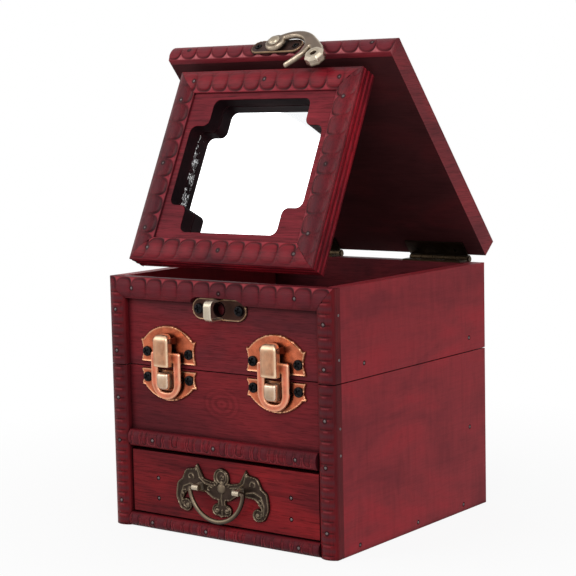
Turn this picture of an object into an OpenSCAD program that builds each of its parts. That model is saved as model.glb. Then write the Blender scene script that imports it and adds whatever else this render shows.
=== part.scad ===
// Vanity box with a hinged tray, a drawer and a folding mirror under the lid.
// Millimetres. The origin is the centre of the underside, the front faces -Y and +Z is up.
// The box is drawn as it stands open: the lid leans forward and the mirror hangs from it.

/* [Box] */
// Width over the two side boards
box_w = 120; // [114:1:140]
// Depth over the front and back boards
box_d = 116; // [114:1:130]
// Thickness of the side, front and back boards
wall_t = 6; // [5:0.5:7]
// Height of the lower box, up to the seam
lower_h = 71.6; // [70:0.1:85]
// Height of the tray, from the seam to its top edge
tray_h = 38.6; // [38.5:0.1:46]
// Gap between lower box and tray
seam_gap = 0.4; // [0.3:0.1:0.6]
// Thickness of the base board
base_t = 6; // [4:0.5:8]
// Height of the drawer bay
bay_h = 30; // [26:0.5:31]
// Thickness of the shelf over the drawer bay
shelf_t = 3; // [2:0.5:5]
// Thickness of the tray's floor
tray_floor_t = 2.1; // [1.5:0.1:3]
// How far the tray front's inner edge is eased back for the mirror
ease_d = 4; // [3:0.25:4.5]
// How far down the tray front's inner edge is eased
ease_h = 6; // [5:0.5:10]

/* [Mouldings] */
// How far a moulding's crest stands off the boards
trim_proud = 4.2; // [3.6:0.1:4.6]
// Height of a moulding's square edge, below its round
trim_edge = 2.4; // [0.8:0.1:2.6]
// Width of the corner mouldings
corner_w = 8.5; // [7:0.5:10]
// How far the corner mouldings reach back over the side boards' ends
corner_lap = 2; // [1:0.5:3]
// Height of the moulding over the drawer
rail_h = 7.2; // [6:0.2:9]
// Gap between the rail mouldings and the corner mouldings
rail_gap = 0.8; // [0.2:0.1:1.5]
// Height of the moulding around the tray's top edge
top_trim_h = 9.5; // [9:0.5:12]
// Width of the open joint line at a mitre
mitre_gap = 0.12; // [0.08:0.02:0.3]

/* [Nails and screws] */
// Radius of a nail
nail_r = 0.75; // [0.5:0.05:0.9]
// Radius of the punched hole around a nail
nail_hole_r = 1; // [0.95:0.05:1.2]
// Length of a nail in the boards
nail_l = 4.5; // [3:0.5:4.5]
// How far a nail's head stands out
nail_proud = 0.1; // [0:0.05:0.3]
// Distance of the lowest corner nail from the bottom
corner_nail_low = 11; // [8:1:14]
// Height of the middle corner nail
corner_nail_mid = 38; // [32:1:44]
// Distance of the upper corner nails from the seam and from the tray's top
corner_nail_end = 14.5; // [12:0.5:16]
// Distance of each nail on a corner moulding's flank from the nearest nail on its front
flank_nail_up = 3.5; // [3:0.1:5]
// Distance of the rail nails from the box's sides
rail_nail_end = 19.5; // [16:0.5:26]
// How far the mouldings' hand-set nails stray from an even spacing
nail_stray = 2.6; // [0:0.1:3]
// Distance of the side nails from the box's back
side_nail_end = 14; // [10:1:20]
// Height of the tray's side nails above the seam
side_nail_up = 6; // [5:0.5:10]
// Radius of a latch screw's head
screw_head_r = 2.2; // [1.8:0.1:2.3]
// Height of a latch screw's head
screw_head_h = 0.9; // [0.7:0.1:1.2]
// Radius of a screw's shank
screw_r = 1.1; // [0.8:0.1:1.2]
// Length of a screw in the wood
screw_l = 3.5; // [2.5:0.5:4]
// Width of a screw's cross slots
slot_w = 0.6; // [0.4:0.1:0.8]
// Depth of a screw's cross slots
slot_d = 0.5; // [0.3:0.1:0.6]
// Radius of a hinge screw's head
small_head_r = 1.3; // [1.1:0.1:1.4]
// Radius of a hinge screw's shank
small_screw_r = 0.8; // [0.6:0.1:0.9]
// Radial clearance of a pin, rivet or shank in its hole
pin_clear = 0.05; // [0.03:0.01:0.08]

/* [Latches] */
// Distance of each latch from the middle of the box
latch_x = 29; // [26:0.5:32]
// Width of the latch plates
latch_w = 30.5; // [28:0.5:31]
// Thickness of the latch plates and of the tongue's sheet
latch_t = 1; // [0.8:0.1:1.1]
// Distance from the seam to the near edge of the tongue's plate
latch_up = 1.9; // [0.6:0.1:2.2]
// Distance from the seam to the near edge of the catch plate
latch_down = 0.8; // [0.6:0.1:1.5]
// Height of the straight side of the tongue's plate
latch_side_up = 10.3; // [9:0.1:11]
// Height of the straight side of the catch plate
latch_side_down = 7.6; // [7:0.1:9]
// Height of the plates' round ends
latch_arch = 6.2; // [5.5:0.1:6.8]
// Depth of the hollow in each straight side of the plates
latch_scallop = 0.9; // [0.5:0.1:1.1]
// Distance of each latch screw from the latch's middle
latch_screw_x = 11.7; // [11:0.1:12]
// Height of the upper latch screws over the seam
latch_screw_up = 6.5; // [5:0.1:7]
// Depth of the lower latch screws under the seam
latch_screw_down = 4.7; // [4.5:0.1:6]
// Height of the tongue's pin over the seam
tongue_pin_up = 12.2; // [12:0.1:13]
// Distance of the tongue's pin from its plate
tongue_pin_out = 3; // [2.9:0.1:3.4]
// Radius of the tongue's pin
tongue_pin_r = 0.75; // [0.6:0.05:0.9]
// Radius of the tongue's rolled end
tongue_roll_r = 2.6; // [2.2:0.1:2.7]
// Width of the tongue's raised rib
rib_w = 7.8; // [7:0.1:8]
// Height of the rib's open lower end over the seam
rib_end = 1.9; // [0.5:0.1:2.5]
// Width of the tongue's flange
flange_w = 16.5; // [15:0.5:17]
// Top of the tongue's flange over the seam
flange_top = 7; // [4:0.5:7.5]
// Bottom of the tongue's flange under the seam
flange_bottom = 13.7; // [13.4:0.1:14.4]
// Gap between the flange and the latch plates
flange_gap = 1.2; // [1:0.1:1.5]
// Width of the window in the flange
window_w = 9; // [8:0.5:10]
// Width of the bar under the window
bar_h = 2.5; // [2:0.1:2.6]
// Thickness of the ears that hold the tongue's pin
ear_t = 1; // [0.8:0.1:1.2]
// Gap between the rib and each ear
ear_gap = 0.3; // [0.2:0.05:0.5]
// Radius of the ears' round ends
ear_r = 1.6; // [1.3:0.1:1.9]
// Width of the catch post
post_w = 5.5; // [4.5:0.5:6]
// How far the catch post stands off its plate
post_out = 4.8; // [4.2:0.1:4.8]
// Top of the catch post under the seam
post_top = 1.6; // [1.4:0.1:2.4]
// Bottom of the catch post under the seam
post_bottom = 9.2; // [8.2:0.1:9.3]
// How much the post's underside rises towards its front
post_rise = 3.6; // [3.4:0.1:4.5]

/* [Hook and eye] */
// Length of the eye plate
eye_l = 29.2; // [27:0.2:31]
// Height of the eye plate
eye_h = 9.4; // [9:0.1:10]
// Thickness of the eye plate
eye_t = 1.2; // [1:0.1:1.5]
// Distance of the eye plate's middle below the tray's top edge
eye_down = 11.9; // [11.6:0.1:13]
// Radius of the hole in the eye plate
eye_hole_r = 3; // [2.5:0.1:3]
// Distance of the eye plate's screws from its middle
eye_screw_x = 10.8; // [10:0.1:11]
// Clear height inside the staple
staple_in_h = 7; // [6.8:0.1:7.2]
// How far the staple stands off the eye plate
staple_out = 8.1; // [7.9:0.1:8.6]
// Thickness of the staple's strap
staple_t = 1; // [0.8:0.1:1.1]
// Width of the staple's strap
staple_w = 4; // [3:0.5:5]
// Length of the hook's base plate
base_plate_l = 27.5; // [26:0.5:30]
// Height of the hook's base plate
base_plate_h = 8.2; // [7.5:0.1:8.6]
// Thickness of the hook's base plate
base_plate_t = 1; // [0.8:0.1:1.2]
// Depth of the base plate's seat in the moulding
base_plate_seat = 0.5; // [0.3:0.1:0.8]
// Distance of the base plate's screws from its middle
base_screw_x = 10; // [9:0.1:10.5]
// Length of the base plate's screws and of the rivet in the moulding
base_screw_l = 2.9; // [1.5:0.1:3]
// Gap between base plate and hook
hook_gap = 0.6; // [0.5:0.1:0.8]
// Thickness of the hook
hook_t = 2.2; // [1.8:0.1:2.4]
// Radius of the hook's boss around the rivet
hook_boss_r = 4.6; // [4:0.1:5]
// Radius of the rivet's shank
rivet_r = 1.6; // [1.2:0.1:2]
// Radius of the rivet's domed head
rivet_head_r = 3.6; // [3:0.1:4]
// Height of the rivet's domed head
rivet_head_h = 1.6; // [1.2:0.1:2]
// Radius of the hook's eight-sided knob
knob_r = 4.6; // [4:0.1:5]
// Thickness of the hook's knob
knob_t = 4; // [3:0.5:4.5]
// Radius of the hole in the knob
knob_hole_r = 1.5; // [1:0.1:2]

/* [Lid] */
// Thickness of the lid board
lid_t = 9; // [8:0.5:11]
// Gap between the tray's top edge and the closed lid
lid_gap = 1.8; // [1.7:0.1:2.2]
// Angle of the open lid
lid_open = 50; // [40:1:52]
// Distance of the lid's moulding nails from the lid's sides
lid_nail_end = 10.5; // [8:0.5:14]

/* [Hinges] */
// Distance of each lid and tray hinge from the middle of the box
hinge_x = 35.5; // [32:0.5:38]
// Length of each lid and tray hinge
hinge_l = 31; // [28:0.5:32]
// Radius of the hinge knuckles
knuckle_r = 1.9; // [1.7:0.1:2]
// Radius of the hinge pins
hinge_pin_r = 0.9; // [0.7:0.05:1]
// Distance of the hinge pins behind the back board
hinge_back = 2; // [1.95:0.05:2.3]
// Thickness of the hinge leaves
leaf_t = 0.7; // [0.5:0.05:0.75]
// Reach of the lower leaves from the pin
leaf_down = 8; // [7:0.5:9]
// Reach of the upper leaves from the pin
leaf_up = 9.8; // [8.5:0.1:11]
// Gap between neighbouring knuckles
knuckle_gap = 0.2; // [0.1:0.05:0.3]
// Distance of each hinge screw from the hinge's middle
hinge_screw_x = 10; // [8:0.5:12]
// Distance of the hinge screws from the pin
hinge_screw_in = 5.2; // [4.5:0.1:5.5]

/* [Mirror] */
// Distance of the mirror frame from each side of the lid
mirror_side = 11; // [11:0.5:15]
// Room between the folded mirror frame and the back board
mirror_rear = 10.7; // [10.5:0.1:16]
// Angle between the lid and the hanging mirror
mirror_open = 66; // [60:1:70]
// Distance of the mirror's hinge pin from the lid's front end
mirror_pin_in = 12.5; // [12:0.1:13.5]
// Gap between the lid and the folded mirror frame
mirror_gap = 1.6; // [1.5:0.1:1.8]
// Distance of the mirror frame's edge behind its hinge pin
mirror_behind = 1.5; // [1.4:0.1:2]
// Thickness of the backing card
backing_t = 0.8; // [0.5:0.1:1.2]
// Thickness of the mirror glass
glass_t = 1; // [0.8:0.1:1.5]
// Thickness of the board with the window
window_board_t = 7; // [6:0.1:7.2]
// Width of the grooved rails around the frame
mirror_rail_w = 6; // [5:0.5:7]
// Radius of the grooves in the rails
groove_r = 0.8; // [0.5:0.1:0.9]
// Width of the mouldings on the frame's face
face_trim_w = 10.5; // [9:0.5:11]
// Height of the mouldings on the frame's face
face_trim_proud = 2.2; // [1.8:0.1:2.2]
// Height of those mouldings' square edge, below their round
face_trim_edge = 0.8; // [0.4:0.1:1.2]
// Gap around the glass and the boards in the frame
fit_gap = 0.2; // [0.1:0.05:0.4]
// Distance of the window from each side of the mirror frame
window_side = 13.5; // [12:0.5:15.5]
// Distance of the window from the top and the bottom of the mirror frame
window_end = 13.75; // [12.75:0.25:15.75]
// Width of each corner notch of the window
notch_w = 9.6; // [7:0.2:12]
// Height of each corner notch of the window
notch_h = 12.4; // [9:0.2:14]
// Radius of the window's corners
window_r = 3.2; // [2:0.1:4]
// Distance of the mirror hinges from the middle
mirror_hinge_x = 28; // [24:1:32]
// Length of the mirror hinges
mirror_hinge_l = 18; // [15:1:21]
// Radius of the mirror hinges' knuckles
mirror_knuckle_r = 0.75; // [0.7:0.01:0.75]
// Radius of the mirror hinges' pins
mirror_pin_r = 0.4; // [0.3:0.05:0.45]
// Thickness of the mirror hinges' leaves
mirror_leaf_t = 0.4; // [0.3:0.05:0.4]
// Reach of the mirror hinges' leaves
mirror_leaf_l = 8; // [7:0.5:10]

/* [Drawer] */
// Thickness of the drawer's face
face_t = 6; // [5:0.5:7]
// How far the drawer's face stands in front of the front board
face_out = 1.5; // [1:0.1:2]
// Gap under and beside the drawer's face
face_gap = 0.8; // [0.5:0.1:1.2]
// Gap between the drawer's face and the moulding over it
face_top_gap = 1.8; // [0.8:0.1:2.5]
// Thickness of the drawer's inner boards
drawer_t = 5; // [4:0.5:6]
// Thickness of the drawer's bottom
drawer_floor_t = 2.5; // [2:0.5:3]
// Height of the drawer's box
drawer_h = 23.7; // [20:0.1:25]
// Running gap around the drawer's box
drawer_gap = 0.3; // [0.2:0.05:0.5]
// Thickness of the guide strips beside the drawer
guide_t = 3.2; // [3.1:0.1:4.5]
// Height of the guide strips
guide_h = 12; // [8:1:20]
// Distance of the drawer's face nails from the middle
face_nail_x = 36; // [32:0.5:40]
// Spacing of the face nails, one over the other
face_nail_pitch = 9; // [7:0.5:11]

/* [Pull] */
// Half the span of the pull's wings
wing_x = 25.4; // [24:0.1:27]
// Thickness of the pull's plate
pull_t = 1.2; // [1:0.1:1.5]
// Height of the bail's pivot over the middle of the drawer's face
bail_up = 1.9; // [0:0.1:2.5]
// Distance of the bail's pivot from the drawer's face
bail_out = 4.5; // [4:0.1:5]
// Radius of the bail's bow
bow_r = 14.5; // [13:0.1:15]
// Depth of the bail's bow below its pivot
bow_drop = 13.5; // [12:0.1:14]
// Radius of the bail's rod
rod_r = 1.1; // [0.9:0.05:1.2]
// Radius of the bail's inward ends
rod_end_r = 0.8; // [0.6:0.05:0.9]
// Radius of the lugs' barrels
lug_r = 1.5; // [1.4:0.05:1.8]
// Length of the lugs' barrels
lug_l = 4.4; // [4:0.1:5]

/* [Hidden] */
$fn = 48;
eps = 0.01;
half_w = box_w / 2;
front_y = -box_d / 2;
back_y = box_d / 2;
crest_y = front_y - trim_proud;
side_front_y = front_y + corner_lap;
in_x = half_w - wall_t;
in_front_y = front_y + wall_t;
in_back_y = back_y - wall_t;
shelf_z = base_t + bay_h;
seam_z = lower_h + seam_gap / 2;
tray_z = lower_h + seam_gap;
top_z = tray_z + tray_h;
corner_x = half_w - corner_w;
corner_mid_x = half_w - corner_w / 2;
top_trim_z = top_z - top_trim_h;

// Lid, drawn closed and then turned about its hinge pins
lid_z = top_z + lid_gap;
lid_top_z = lid_z + lid_t;
lid_pin = [0, back_y + hinge_back, top_z + lid_gap / 2];
tray_pin = [0, back_y + hinge_back, seam_z];

// Mirror, drawn folded flat under the closed lid and then turned about its own pins
mirror_pin = [0, crest_y + mirror_pin_in, lid_z - mirror_gap / 2];
mirror_y = mirror_pin[1] + mirror_behind;
mirror_end_y = in_back_y - mirror_rear;
mirror_l = mirror_end_y - mirror_y;
mirror_mid_y = (mirror_y + mirror_end_y) / 2;
mirror_z = lid_z - mirror_gap;
glass_z = mirror_z - backing_t - glass_t;
board_z = glass_z - window_board_t;
mirror_x = half_w - mirror_side;
window_l = 2 * (mirror_x - window_side);
window_h = mirror_l - 2 * window_end;
mirror_in_x = mirror_x - mirror_rail_w;
mirror_in_y = [mirror_y + mirror_rail_w, mirror_end_y - mirror_rail_w];

// Latches
latch_y = front_y - latch_t;
tongue_pin_y = latch_y - tongue_pin_out;
tongue_pin_z = seam_z + tongue_pin_up;
flange_y = latch_y - flange_gap;
ear_x = rib_w / 2 + ear_gap;
latch_screws = [[latch_screw_x, latch_screw_up], [latch_screw_x, -latch_screw_down]];

// Hook and eye
eye_z = top_z - eye_down;
eye_face_y = front_y - eye_t;
hook_z = lid_z + lid_t / 2;
seat_y = crest_y + base_plate_seat;
base_face_y = seat_y - base_plate_t;
hook_back_y = base_face_y - hook_gap;
hook_face_y = hook_back_y - hook_t;

// Drawer and pull
face_y = front_y - face_out;
face_back_y = face_y + face_t;
face_z = [base_t + face_gap, shelf_z - face_top_gap];
face_mid_z = (face_z[0] + face_z[1]) / 2;
face_x = corner_x - face_gap - drawer_gap;
drawer_x = in_x - guide_t - drawer_gap;
drawer_z = base_t + drawer_gap;
drawer_back_y = in_back_y - drawer_gap;
pull_y = face_y - pull_t;
bail_y = face_y - bail_out;
bail_z = face_mid_z + bail_up;
bow_arc_r = (pow(bow_r, 2) + pow(bow_drop, 2)) / (2 * bow_drop);
bow_end_a = asin((bow_arc_r - bow_drop) / bow_arc_r);
lug_x = [bow_r - rod_r - drawer_gap - lug_l, bow_r - rod_r - drawer_gap];

// Colours as the stained wood and the metals look
wood = [0.42, 0.12, 0.14];
wood_dark = [0.31, 0.1, 0.12];
wood_light = [0.5, 0.2, 0.24];
copper = [0.8, 0.5, 0.34];
bronze = [0.35, 0.28, 0.2];
black_metal = [0.15, 0.15, 0.16];
steel = [0.68, 0.64, 0.64];

// A box between two limits on each axis
module block(x, y, z) {
    translate([x[0], y[0], z[0]])
        cube([x[1] - x[0], y[1] - y[0], z[1] - z[0]]);
}

// An outline in (y, z) drawn out along X
module profile_x(x) {
    translate([x[0], 0, 0]) rotate([90, 0, 90])
        linear_extrude(x[1] - x[0]) children();
}

// An outline in (x, z) drawn out along Y
module profile_y(y) {
    translate([0, y[1], 0]) rotate([90, 0, 0])
        linear_extrude(y[1] - y[0]) children();
}

// An outline in (x, y) drawn out along Z
module profile_z(z) {
    translate([0, 0, z[0]])
        linear_extrude(z[1] - z[0]) children();
}

// A round bar along X between two places, through (y, z)
module bar_x(x, y, z, r) {
    translate([x[0], y, z]) rotate([0, 90, 0])
        cylinder(h = x[1] - x[0], r = r);
}

// A round bar along Y between two places, through (x, z)
module bar_y(x, y, z, r) {
    translate([x, y[1], z]) rotate([90, 0, 0])
        cylinder(h = y[1] - y[0], r = r);
}

// Children at both signs of a distance from the middle
module pair(x) {
    for (s = [-1, 1])
        translate([s * x, 0, 0]) children();
}

// Children as drawn and mirrored to the other side of the box
module both_sides() {
    children();
    mirror([1, 0, 0]) children();
}

// Round a corner of an outline: p is [x, y, radius], a and b are its neighbours
function flat2(p) = [p[0], p[1]];
function unit(v) = v / norm(v);
function corner_arc(a, p, b, n = 6) =
    let (u = unit(flat2(a) - flat2(p)), v = unit(flat2(b) - flat2(p)))
    let (half = acos(u * v) / 2, m = unit(u + v))
    let (c = flat2(p) + m * p[2] / sin(half))
    let (s = flat2(p) + u * p[2] / tan(half) - c, e = flat2(p) + v * p[2] / tan(half) - c)
    let (a0 = atan2(s[1], s[0]), turn = (atan2(e[1], e[0]) - a0 + 540) % 360 - 180)
    [for (i = [0:n]) c + p[2] * [cos(a0 + turn * i / n), sin(a0 + turn * i / n)]];
function rounded(ps) =
    let (k = len(ps))
    [for (i = [0:k - 1])
        each ps[i][2] > 0
            ? corner_arc(ps[(i + k - 1) % k], ps[i], ps[(i + 1) % k])
            : [flat2(ps[i])]];

// A half-round moulding's section: it stands on the X axis, its crest is at y = p
module half_round(w, p, edge = trim_edge) {
    rise = p - edge;
    r = (w * w / 4 + rise * rise) / (2 * rise);
    intersection() {
        translate([0, p - r]) circle(r, $fn = 96);
        translate([-w / 2, 0]) square([w, p]);
    }
}

// An outline with two round ends, centred
module capsule(l, h, grow = 0) {
    for (s = [-1, 1])
        translate([s * (l - h) / 2, 0]) circle(h / 2 + grow);
    square([l - h, h + 2 * grow], center = true);
}

// Places for nails and screws: the child's +Z points out of the surface
module on_front(x, y, z) {
    translate([x, y, z]) rotate([90, 0, 0]) children();
}
module on_back(x, y, z) {
    translate([x, y, z]) rotate([-90, 0, 0]) children();
}
module on_side(x, y, z) {
    translate([x, y, z]) rotate([0, 90 * sign(x), 0]) children();
}
module facing_up(x, y, z) {
    translate([x, y, z]) children();
}
module facing_down(x, y, z) {
    translate([x, y, z]) rotate([180, 0, 0]) children();
}

module nail(l) {
    translate([0, 0, -l]) cylinder(h = l + nail_proud, r = nail_r);
}
module nail_hole(l) {
    translate([0, 0, -l]) cylinder(h = l + trim_proud, r = nail_hole_r);
}

// A cross-head screw whose head sits on the surface
module screw() {
    difference() {
        union() {
            cylinder(h = screw_head_h / 2, r = screw_head_r);
            translate([0, 0, screw_head_h / 2])
                cylinder(h = screw_head_h / 2, r1 = screw_head_r, r2 = screw_head_r - screw_head_h / 2);
            translate([0, 0, -screw_l]) cylinder(h = screw_l, r = screw_r);
        }
        cross_slots(screw_head_h, screw_head_r);
    }
}
module cross_slots(z, r) {
    for (a = [0, 90])
        rotate([0, 0, a]) translate([-r * 0.62, -slot_w / 2, z - slot_d])
            cube([r * 1.24, slot_w, slot_d + eps]);
}
module screw_hole() {
    translate([0, 0, -screw_l - pin_clear])
        cylinder(h = screw_l + pin_clear + latch_t + eye_t, r = screw_r + pin_clear);
}

// A flush cross-head screw through a plate of thickness t, its head ending at the plate's face
module flush_screw(t, l) {
    difference() {
        union() {
            translate([0, 0, -t]) cylinder(h = t, r = small_head_r);
            translate([0, 0, -t - l]) cylinder(h = l, r = small_screw_r);
        }
        cross_slots(0, small_head_r);
    }
}
module flush_head_hole(t) {
    translate([0, 0, -t - eps]) cylinder(h = t + 2 * eps, r = small_head_r + pin_clear);
}
module flush_pilot(l) {
    translate([0, 0, -l - pin_clear]) cylinder(h = l + 2 * pin_clear, r = small_screw_r + pin_clear);
}

// Turned places of the open lid and of the mirror that hangs from it
module about(pin, angle) {
    translate(pin) rotate([angle, 0, 0]) translate(-pin) children();
}
module lid_place() {
    about(lid_pin, -lid_open) children();
}
module mirror_place() {
    lid_place() about(mirror_pin, -mirror_open) children();
}

// One leaf of a butt hinge along X. Its pin is the X axis, the leaf reaches along +Y and
// its sheet lies from z = off to off + t. Knuckles number `first`, first + 2 and so on are its own.
module leaf(l, count, first, reach, off, t, r, bore) {
    pitch = l / count;
    start = r + fit_gap;
    difference() {
        union() {
            block([-l / 2, l / 2], [start, reach], [off, off + t]);
            for (i = [first:2:count - 1]) {
                x = [-l / 2 + i * pitch + knuckle_gap / 2, -l / 2 + (i + 1) * pitch - knuckle_gap / 2];
                bar_x(x, 0, 0, r);
                block(x, [0, start + eps], [off, off + t]);
            }
        }
        bar_x([-l, l], 0, 0, bore);
    }
}

// A hinge pin along X with a small head at each end
module hinge_pin(l, r) {
    bar_x([-l / 2, l / 2], 0, 0, r);
    for (s = [-1, 1])
        bar_x([s * (l / 2 + r / 4) - r / 4, s * (l / 2 + r / 4) + r / 4], 0, 0, r * 1.4);
}

// Nail places on the corner mouldings, as heights
lower_corner_nails = [corner_nail_low, corner_nail_mid, lower_h - corner_nail_end];
upper_corner_nails = [tray_z + side_nail_up, top_z - corner_nail_end];
lower_flank_nails = [corner_nail_mid + 1.3 * flank_nail_up, lower_corner_nails[2] - flank_nail_up];
upper_flank_nails = [upper_corner_nails[0] + flank_nail_up, upper_corner_nails[1] + flank_nail_up];
flank_nail_y = front_y + corner_lap * 0.3;
// Nail places along the rail mouldings and the top moulding
rail_nails = half_w - rail_nail_end;
mid_rail_nails = [nail_stray * 1.5 - rail_nails, -nail_stray, rail_nails];
bottom_rail_nails = [nail_stray - rail_nails, -3 * nail_stray, rail_nails + nail_stray / 3];
top_trim_nails = [side_nail_end - half_w, nail_stray, rail_nails + nail_stray / 2];
// Nail places on the side boards, as [y, z]
side_nails_lower = [
    [side_front_y + rail_nail_end - side_nail_end + side_nail_up, base_t / 2],
    [0, base_t / 2],
    [back_y - side_nail_end - side_nail_up, base_t / 2],
    [back_y - side_nail_end, shelf_z + shelf_t / 2]
];
side_nails_upper = [
    [-back_y + corner_nail_end + corner_lap + side_nail_end / 7, tray_z + side_nail_up],
    [back_y - side_nail_end, tray_z + side_nail_up]
];

module side_board(z, nails) {
    difference() {
        block([in_x, half_w], [side_front_y, back_y], z);
        for (n = nails)
            on_side(half_w, n[0], n[1]) nail_hole(nail_l);
    }
}
module carcass_right_side() {
    color(wood) side_board([0, lower_h], side_nails_lower);
}
module carcass_left_side() {
    color(wood) mirror([1, 0, 0]) side_board([0, lower_h], side_nails_lower);
}
module tray_right_side() {
    color(wood) side_board([tray_z, top_z], side_nails_upper);
}
module tray_left_side() {
    color(wood) mirror([1, 0, 0]) side_board([tray_z, top_z], side_nails_upper);
}

// Children at both screws of both tray hinges, on one leaf's side of the pin
module at_tray_hinge_screws(s) {
    pair(hinge_x) pair(hinge_screw_x)
        on_back(0, back_y + leaf_t, tray_pin[2] + s * hinge_screw_in) children();
}
module carcass_back() {
    color(wood) difference() {
        block([-in_x, in_x], [in_back_y, back_y], [0, lower_h]);
        at_tray_hinge_screws(-1) translate([0, 0, -leaf_t]) flush_pilot(screw_l);
    }
}
module tray_back() {
    color(wood) difference() {
        block([-in_x, in_x], [in_back_y, back_y], [tray_z, top_z]);
        at_tray_hinge_screws(1) translate([0, 0, -leaf_t]) flush_pilot(screw_l);
        at_lid_hinge_screws() translate([0, 0, -leaf_t]) flush_pilot(screw_l);
    }
}

module carcass_base() {
    color(wood_dark) block([-in_x, in_x], [front_y, in_back_y], [0, base_t]);
}

// Children at the two screws of each latch plate, above (s = 1) or below (s = -1) the seam
module at_latch_screws(s) {
    z = s > 0 ? latch_screw_up : -latch_screw_down;
    pair(latch_x) pair(latch_screw_x)
        on_front(0, latch_y, seam_z + z) children();
}
module carcass_front_panel() {
    color(wood) difference() {
        block([-in_x, in_x], [front_y, in_front_y], [shelf_z, lower_h]);
        at_latch_screws(-1) screw_hole();
    }
}
module drawer_bay_shelf() {
    color(wood_dark) block([-in_x, in_x], [in_front_y, in_back_y], [shelf_z, shelf_z + shelf_t]);
}
module drawer_guides() {
    color(wood_dark) both_sides()
        block([in_x - guide_t, in_x], [in_front_y, in_back_y], [base_t, base_t + guide_h]);
}

// A moulding along X on the front boards, with its nail holes
module rail_trim(x, z, nails) {
    difference() {
        translate([0, front_y, (z[0] + z[1]) / 2]) rotate([0, 0, 180]) profile_x([-x, x])
            rotate([0, 0, -90]) half_round(z[1] - z[0], trim_proud);
        for (n = nails)
            on_front(n, crest_y, (z[0] + z[1]) / 2) nail_hole(trim_proud + eps);
    }
}
module mid_rail_trim() {
    color(wood_dark) rail_trim(corner_x - rail_gap, [shelf_z, shelf_z + rail_h], mid_rail_nails);
}
module bottom_rail_trim() {
    color(wood_dark) rail_trim(corner_x - fit_gap, [0, base_t], bottom_rail_nails);
}

// The right-hand corner moulding between two heights, with the foot that laps the side board
module corner_trim(z, nails, flank_nails) {
    difference() {
        union() {
            profile_z(z) translate([corner_mid_x, front_y]) mirror([0, 1])
                half_round(corner_w, trim_proud);
            block([in_x, half_w], [front_y - eps, side_front_y], z);
        }
        for (n = nails)
            on_front(corner_mid_x, crest_y, n) nail_hole(trim_proud);
        for (n = flank_nails)
            on_side(half_w, flank_nail_y, n) nail_hole(nail_l);
    }
}
module corner_trims_lower() {
    color(wood_dark) both_sides()
        corner_trim([0, lower_h], lower_corner_nails, lower_flank_nails);
}

// The mitre between the corner mouldings and the top moulding, as a region in (x, z)
module mitre_region(shift) {
    polygon([
        [half_w + shift, top_z + eps],
        [corner_x + shift, top_trim_z],
        [-corner_x - shift, top_trim_z],
        [-half_w - shift, top_z + eps]
    ]);
}
module corner_trims_upper() {
    color(wood_dark) both_sides() difference() {
        corner_trim([tray_z, top_z], upper_corner_nails, upper_flank_nails);
        profile_y([crest_y - eps, front_y]) mitre_region(0);
    }
}
module tray_top_trim() {
    color(wood_dark) difference() {
        intersection() {
            rail_trim(half_w, [top_trim_z, top_z], top_trim_nails);
            profile_y([crest_y - eps, front_y + eps]) mitre_region(-mitre_gap);
        }
        profile_y([crest_y - eps, front_y + eps])
            translate([0, eye_z]) capsule(eye_l, eye_h, fit_gap);
    }
}

module front_trim_nails(xs, z) {
    for (x = xs)
        on_front(x, crest_y, z) nail(trim_proud);
}
module carcass_nails() {
    color(steel) {
        front_trim_nails(mid_rail_nails, shelf_z + rail_h / 2);
        front_trim_nails(bottom_rail_nails, base_t / 2);
        for (s = [-1, 1]) {
            for (z = lower_corner_nails)
                on_front(s * corner_mid_x, crest_y, z) nail(trim_proud);
            for (z = lower_flank_nails)
                on_side(s * half_w, flank_nail_y, z) nail(nail_l);
            for (n = side_nails_lower)
                on_side(s * half_w, n[0], n[1]) nail(nail_l);
        }
    }
}
module tray_nails() {
    color(steel) {
        front_trim_nails(top_trim_nails, top_z - top_trim_h / 2);
        for (s = [-1, 1]) {
            for (z = upper_corner_nails)
                on_front(s * corner_mid_x, crest_y, z) nail(trim_proud);
            for (z = upper_flank_nails)
                on_side(s * half_w, flank_nail_y, z) nail(nail_l);
            for (n = side_nails_upper)
                on_side(s * half_w, n[0], n[1]) nail(nail_l);
        }
    }
}

// Catch plate: straight sides from the seam, a round lower end, and the post for the tongue
module latch_outline(near, side, dir) {
    half = latch_w / 2;
    step = latch_t * 1.5;
    arc_half = half - step;
    r = (arc_half * arc_half + latch_arch * latch_arch) / (2 * latch_arch);
    z0 = dir > 0 ? near : -near - side;
    chord = side / 2 - latch_scallop;
    hollow_r = (chord * chord + latch_scallop * latch_scallop) / (2 * latch_scallop);
    difference() {
        translate([-half, z0]) square([latch_w, side]);
        pair_2d(half + hollow_r - latch_scallop)
            translate([0, z0 + side / 2]) circle(hollow_r, $fn = 96);
    }
    intersection() {
        translate([0, dir * (near + side + latch_arch - r)]) circle(r, $fn = 96);
        z1 = dir > 0 ? near + side - eps : -near - side - latch_arch - eps;
        translate([-arc_half, z1]) square([2 * arc_half, latch_arch + 2 * eps]);
    }
}
module catch_plates() {
    color(copper) pair(latch_x) {
        difference() {
            profile_y([latch_y, front_y]) translate([0, seam_z])
                latch_outline(latch_down, latch_side_down, -1);
            pair(latch_screw_x)
                on_front(0, latch_y, seam_z - latch_screw_down) screw_hole();
        }
        profile_x([-post_w / 2, post_w / 2]) polygon([
            [latch_y + eps, seam_z - post_top],
            [latch_y - post_out, seam_z - post_top],
            [latch_y - post_out, seam_z - post_bottom + post_rise],
            [latch_y + eps, seam_z - post_bottom]
        ]);
    }
}
module catch_screws() {
    color(black_metal) at_latch_screws(-1) screw();
}

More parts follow.
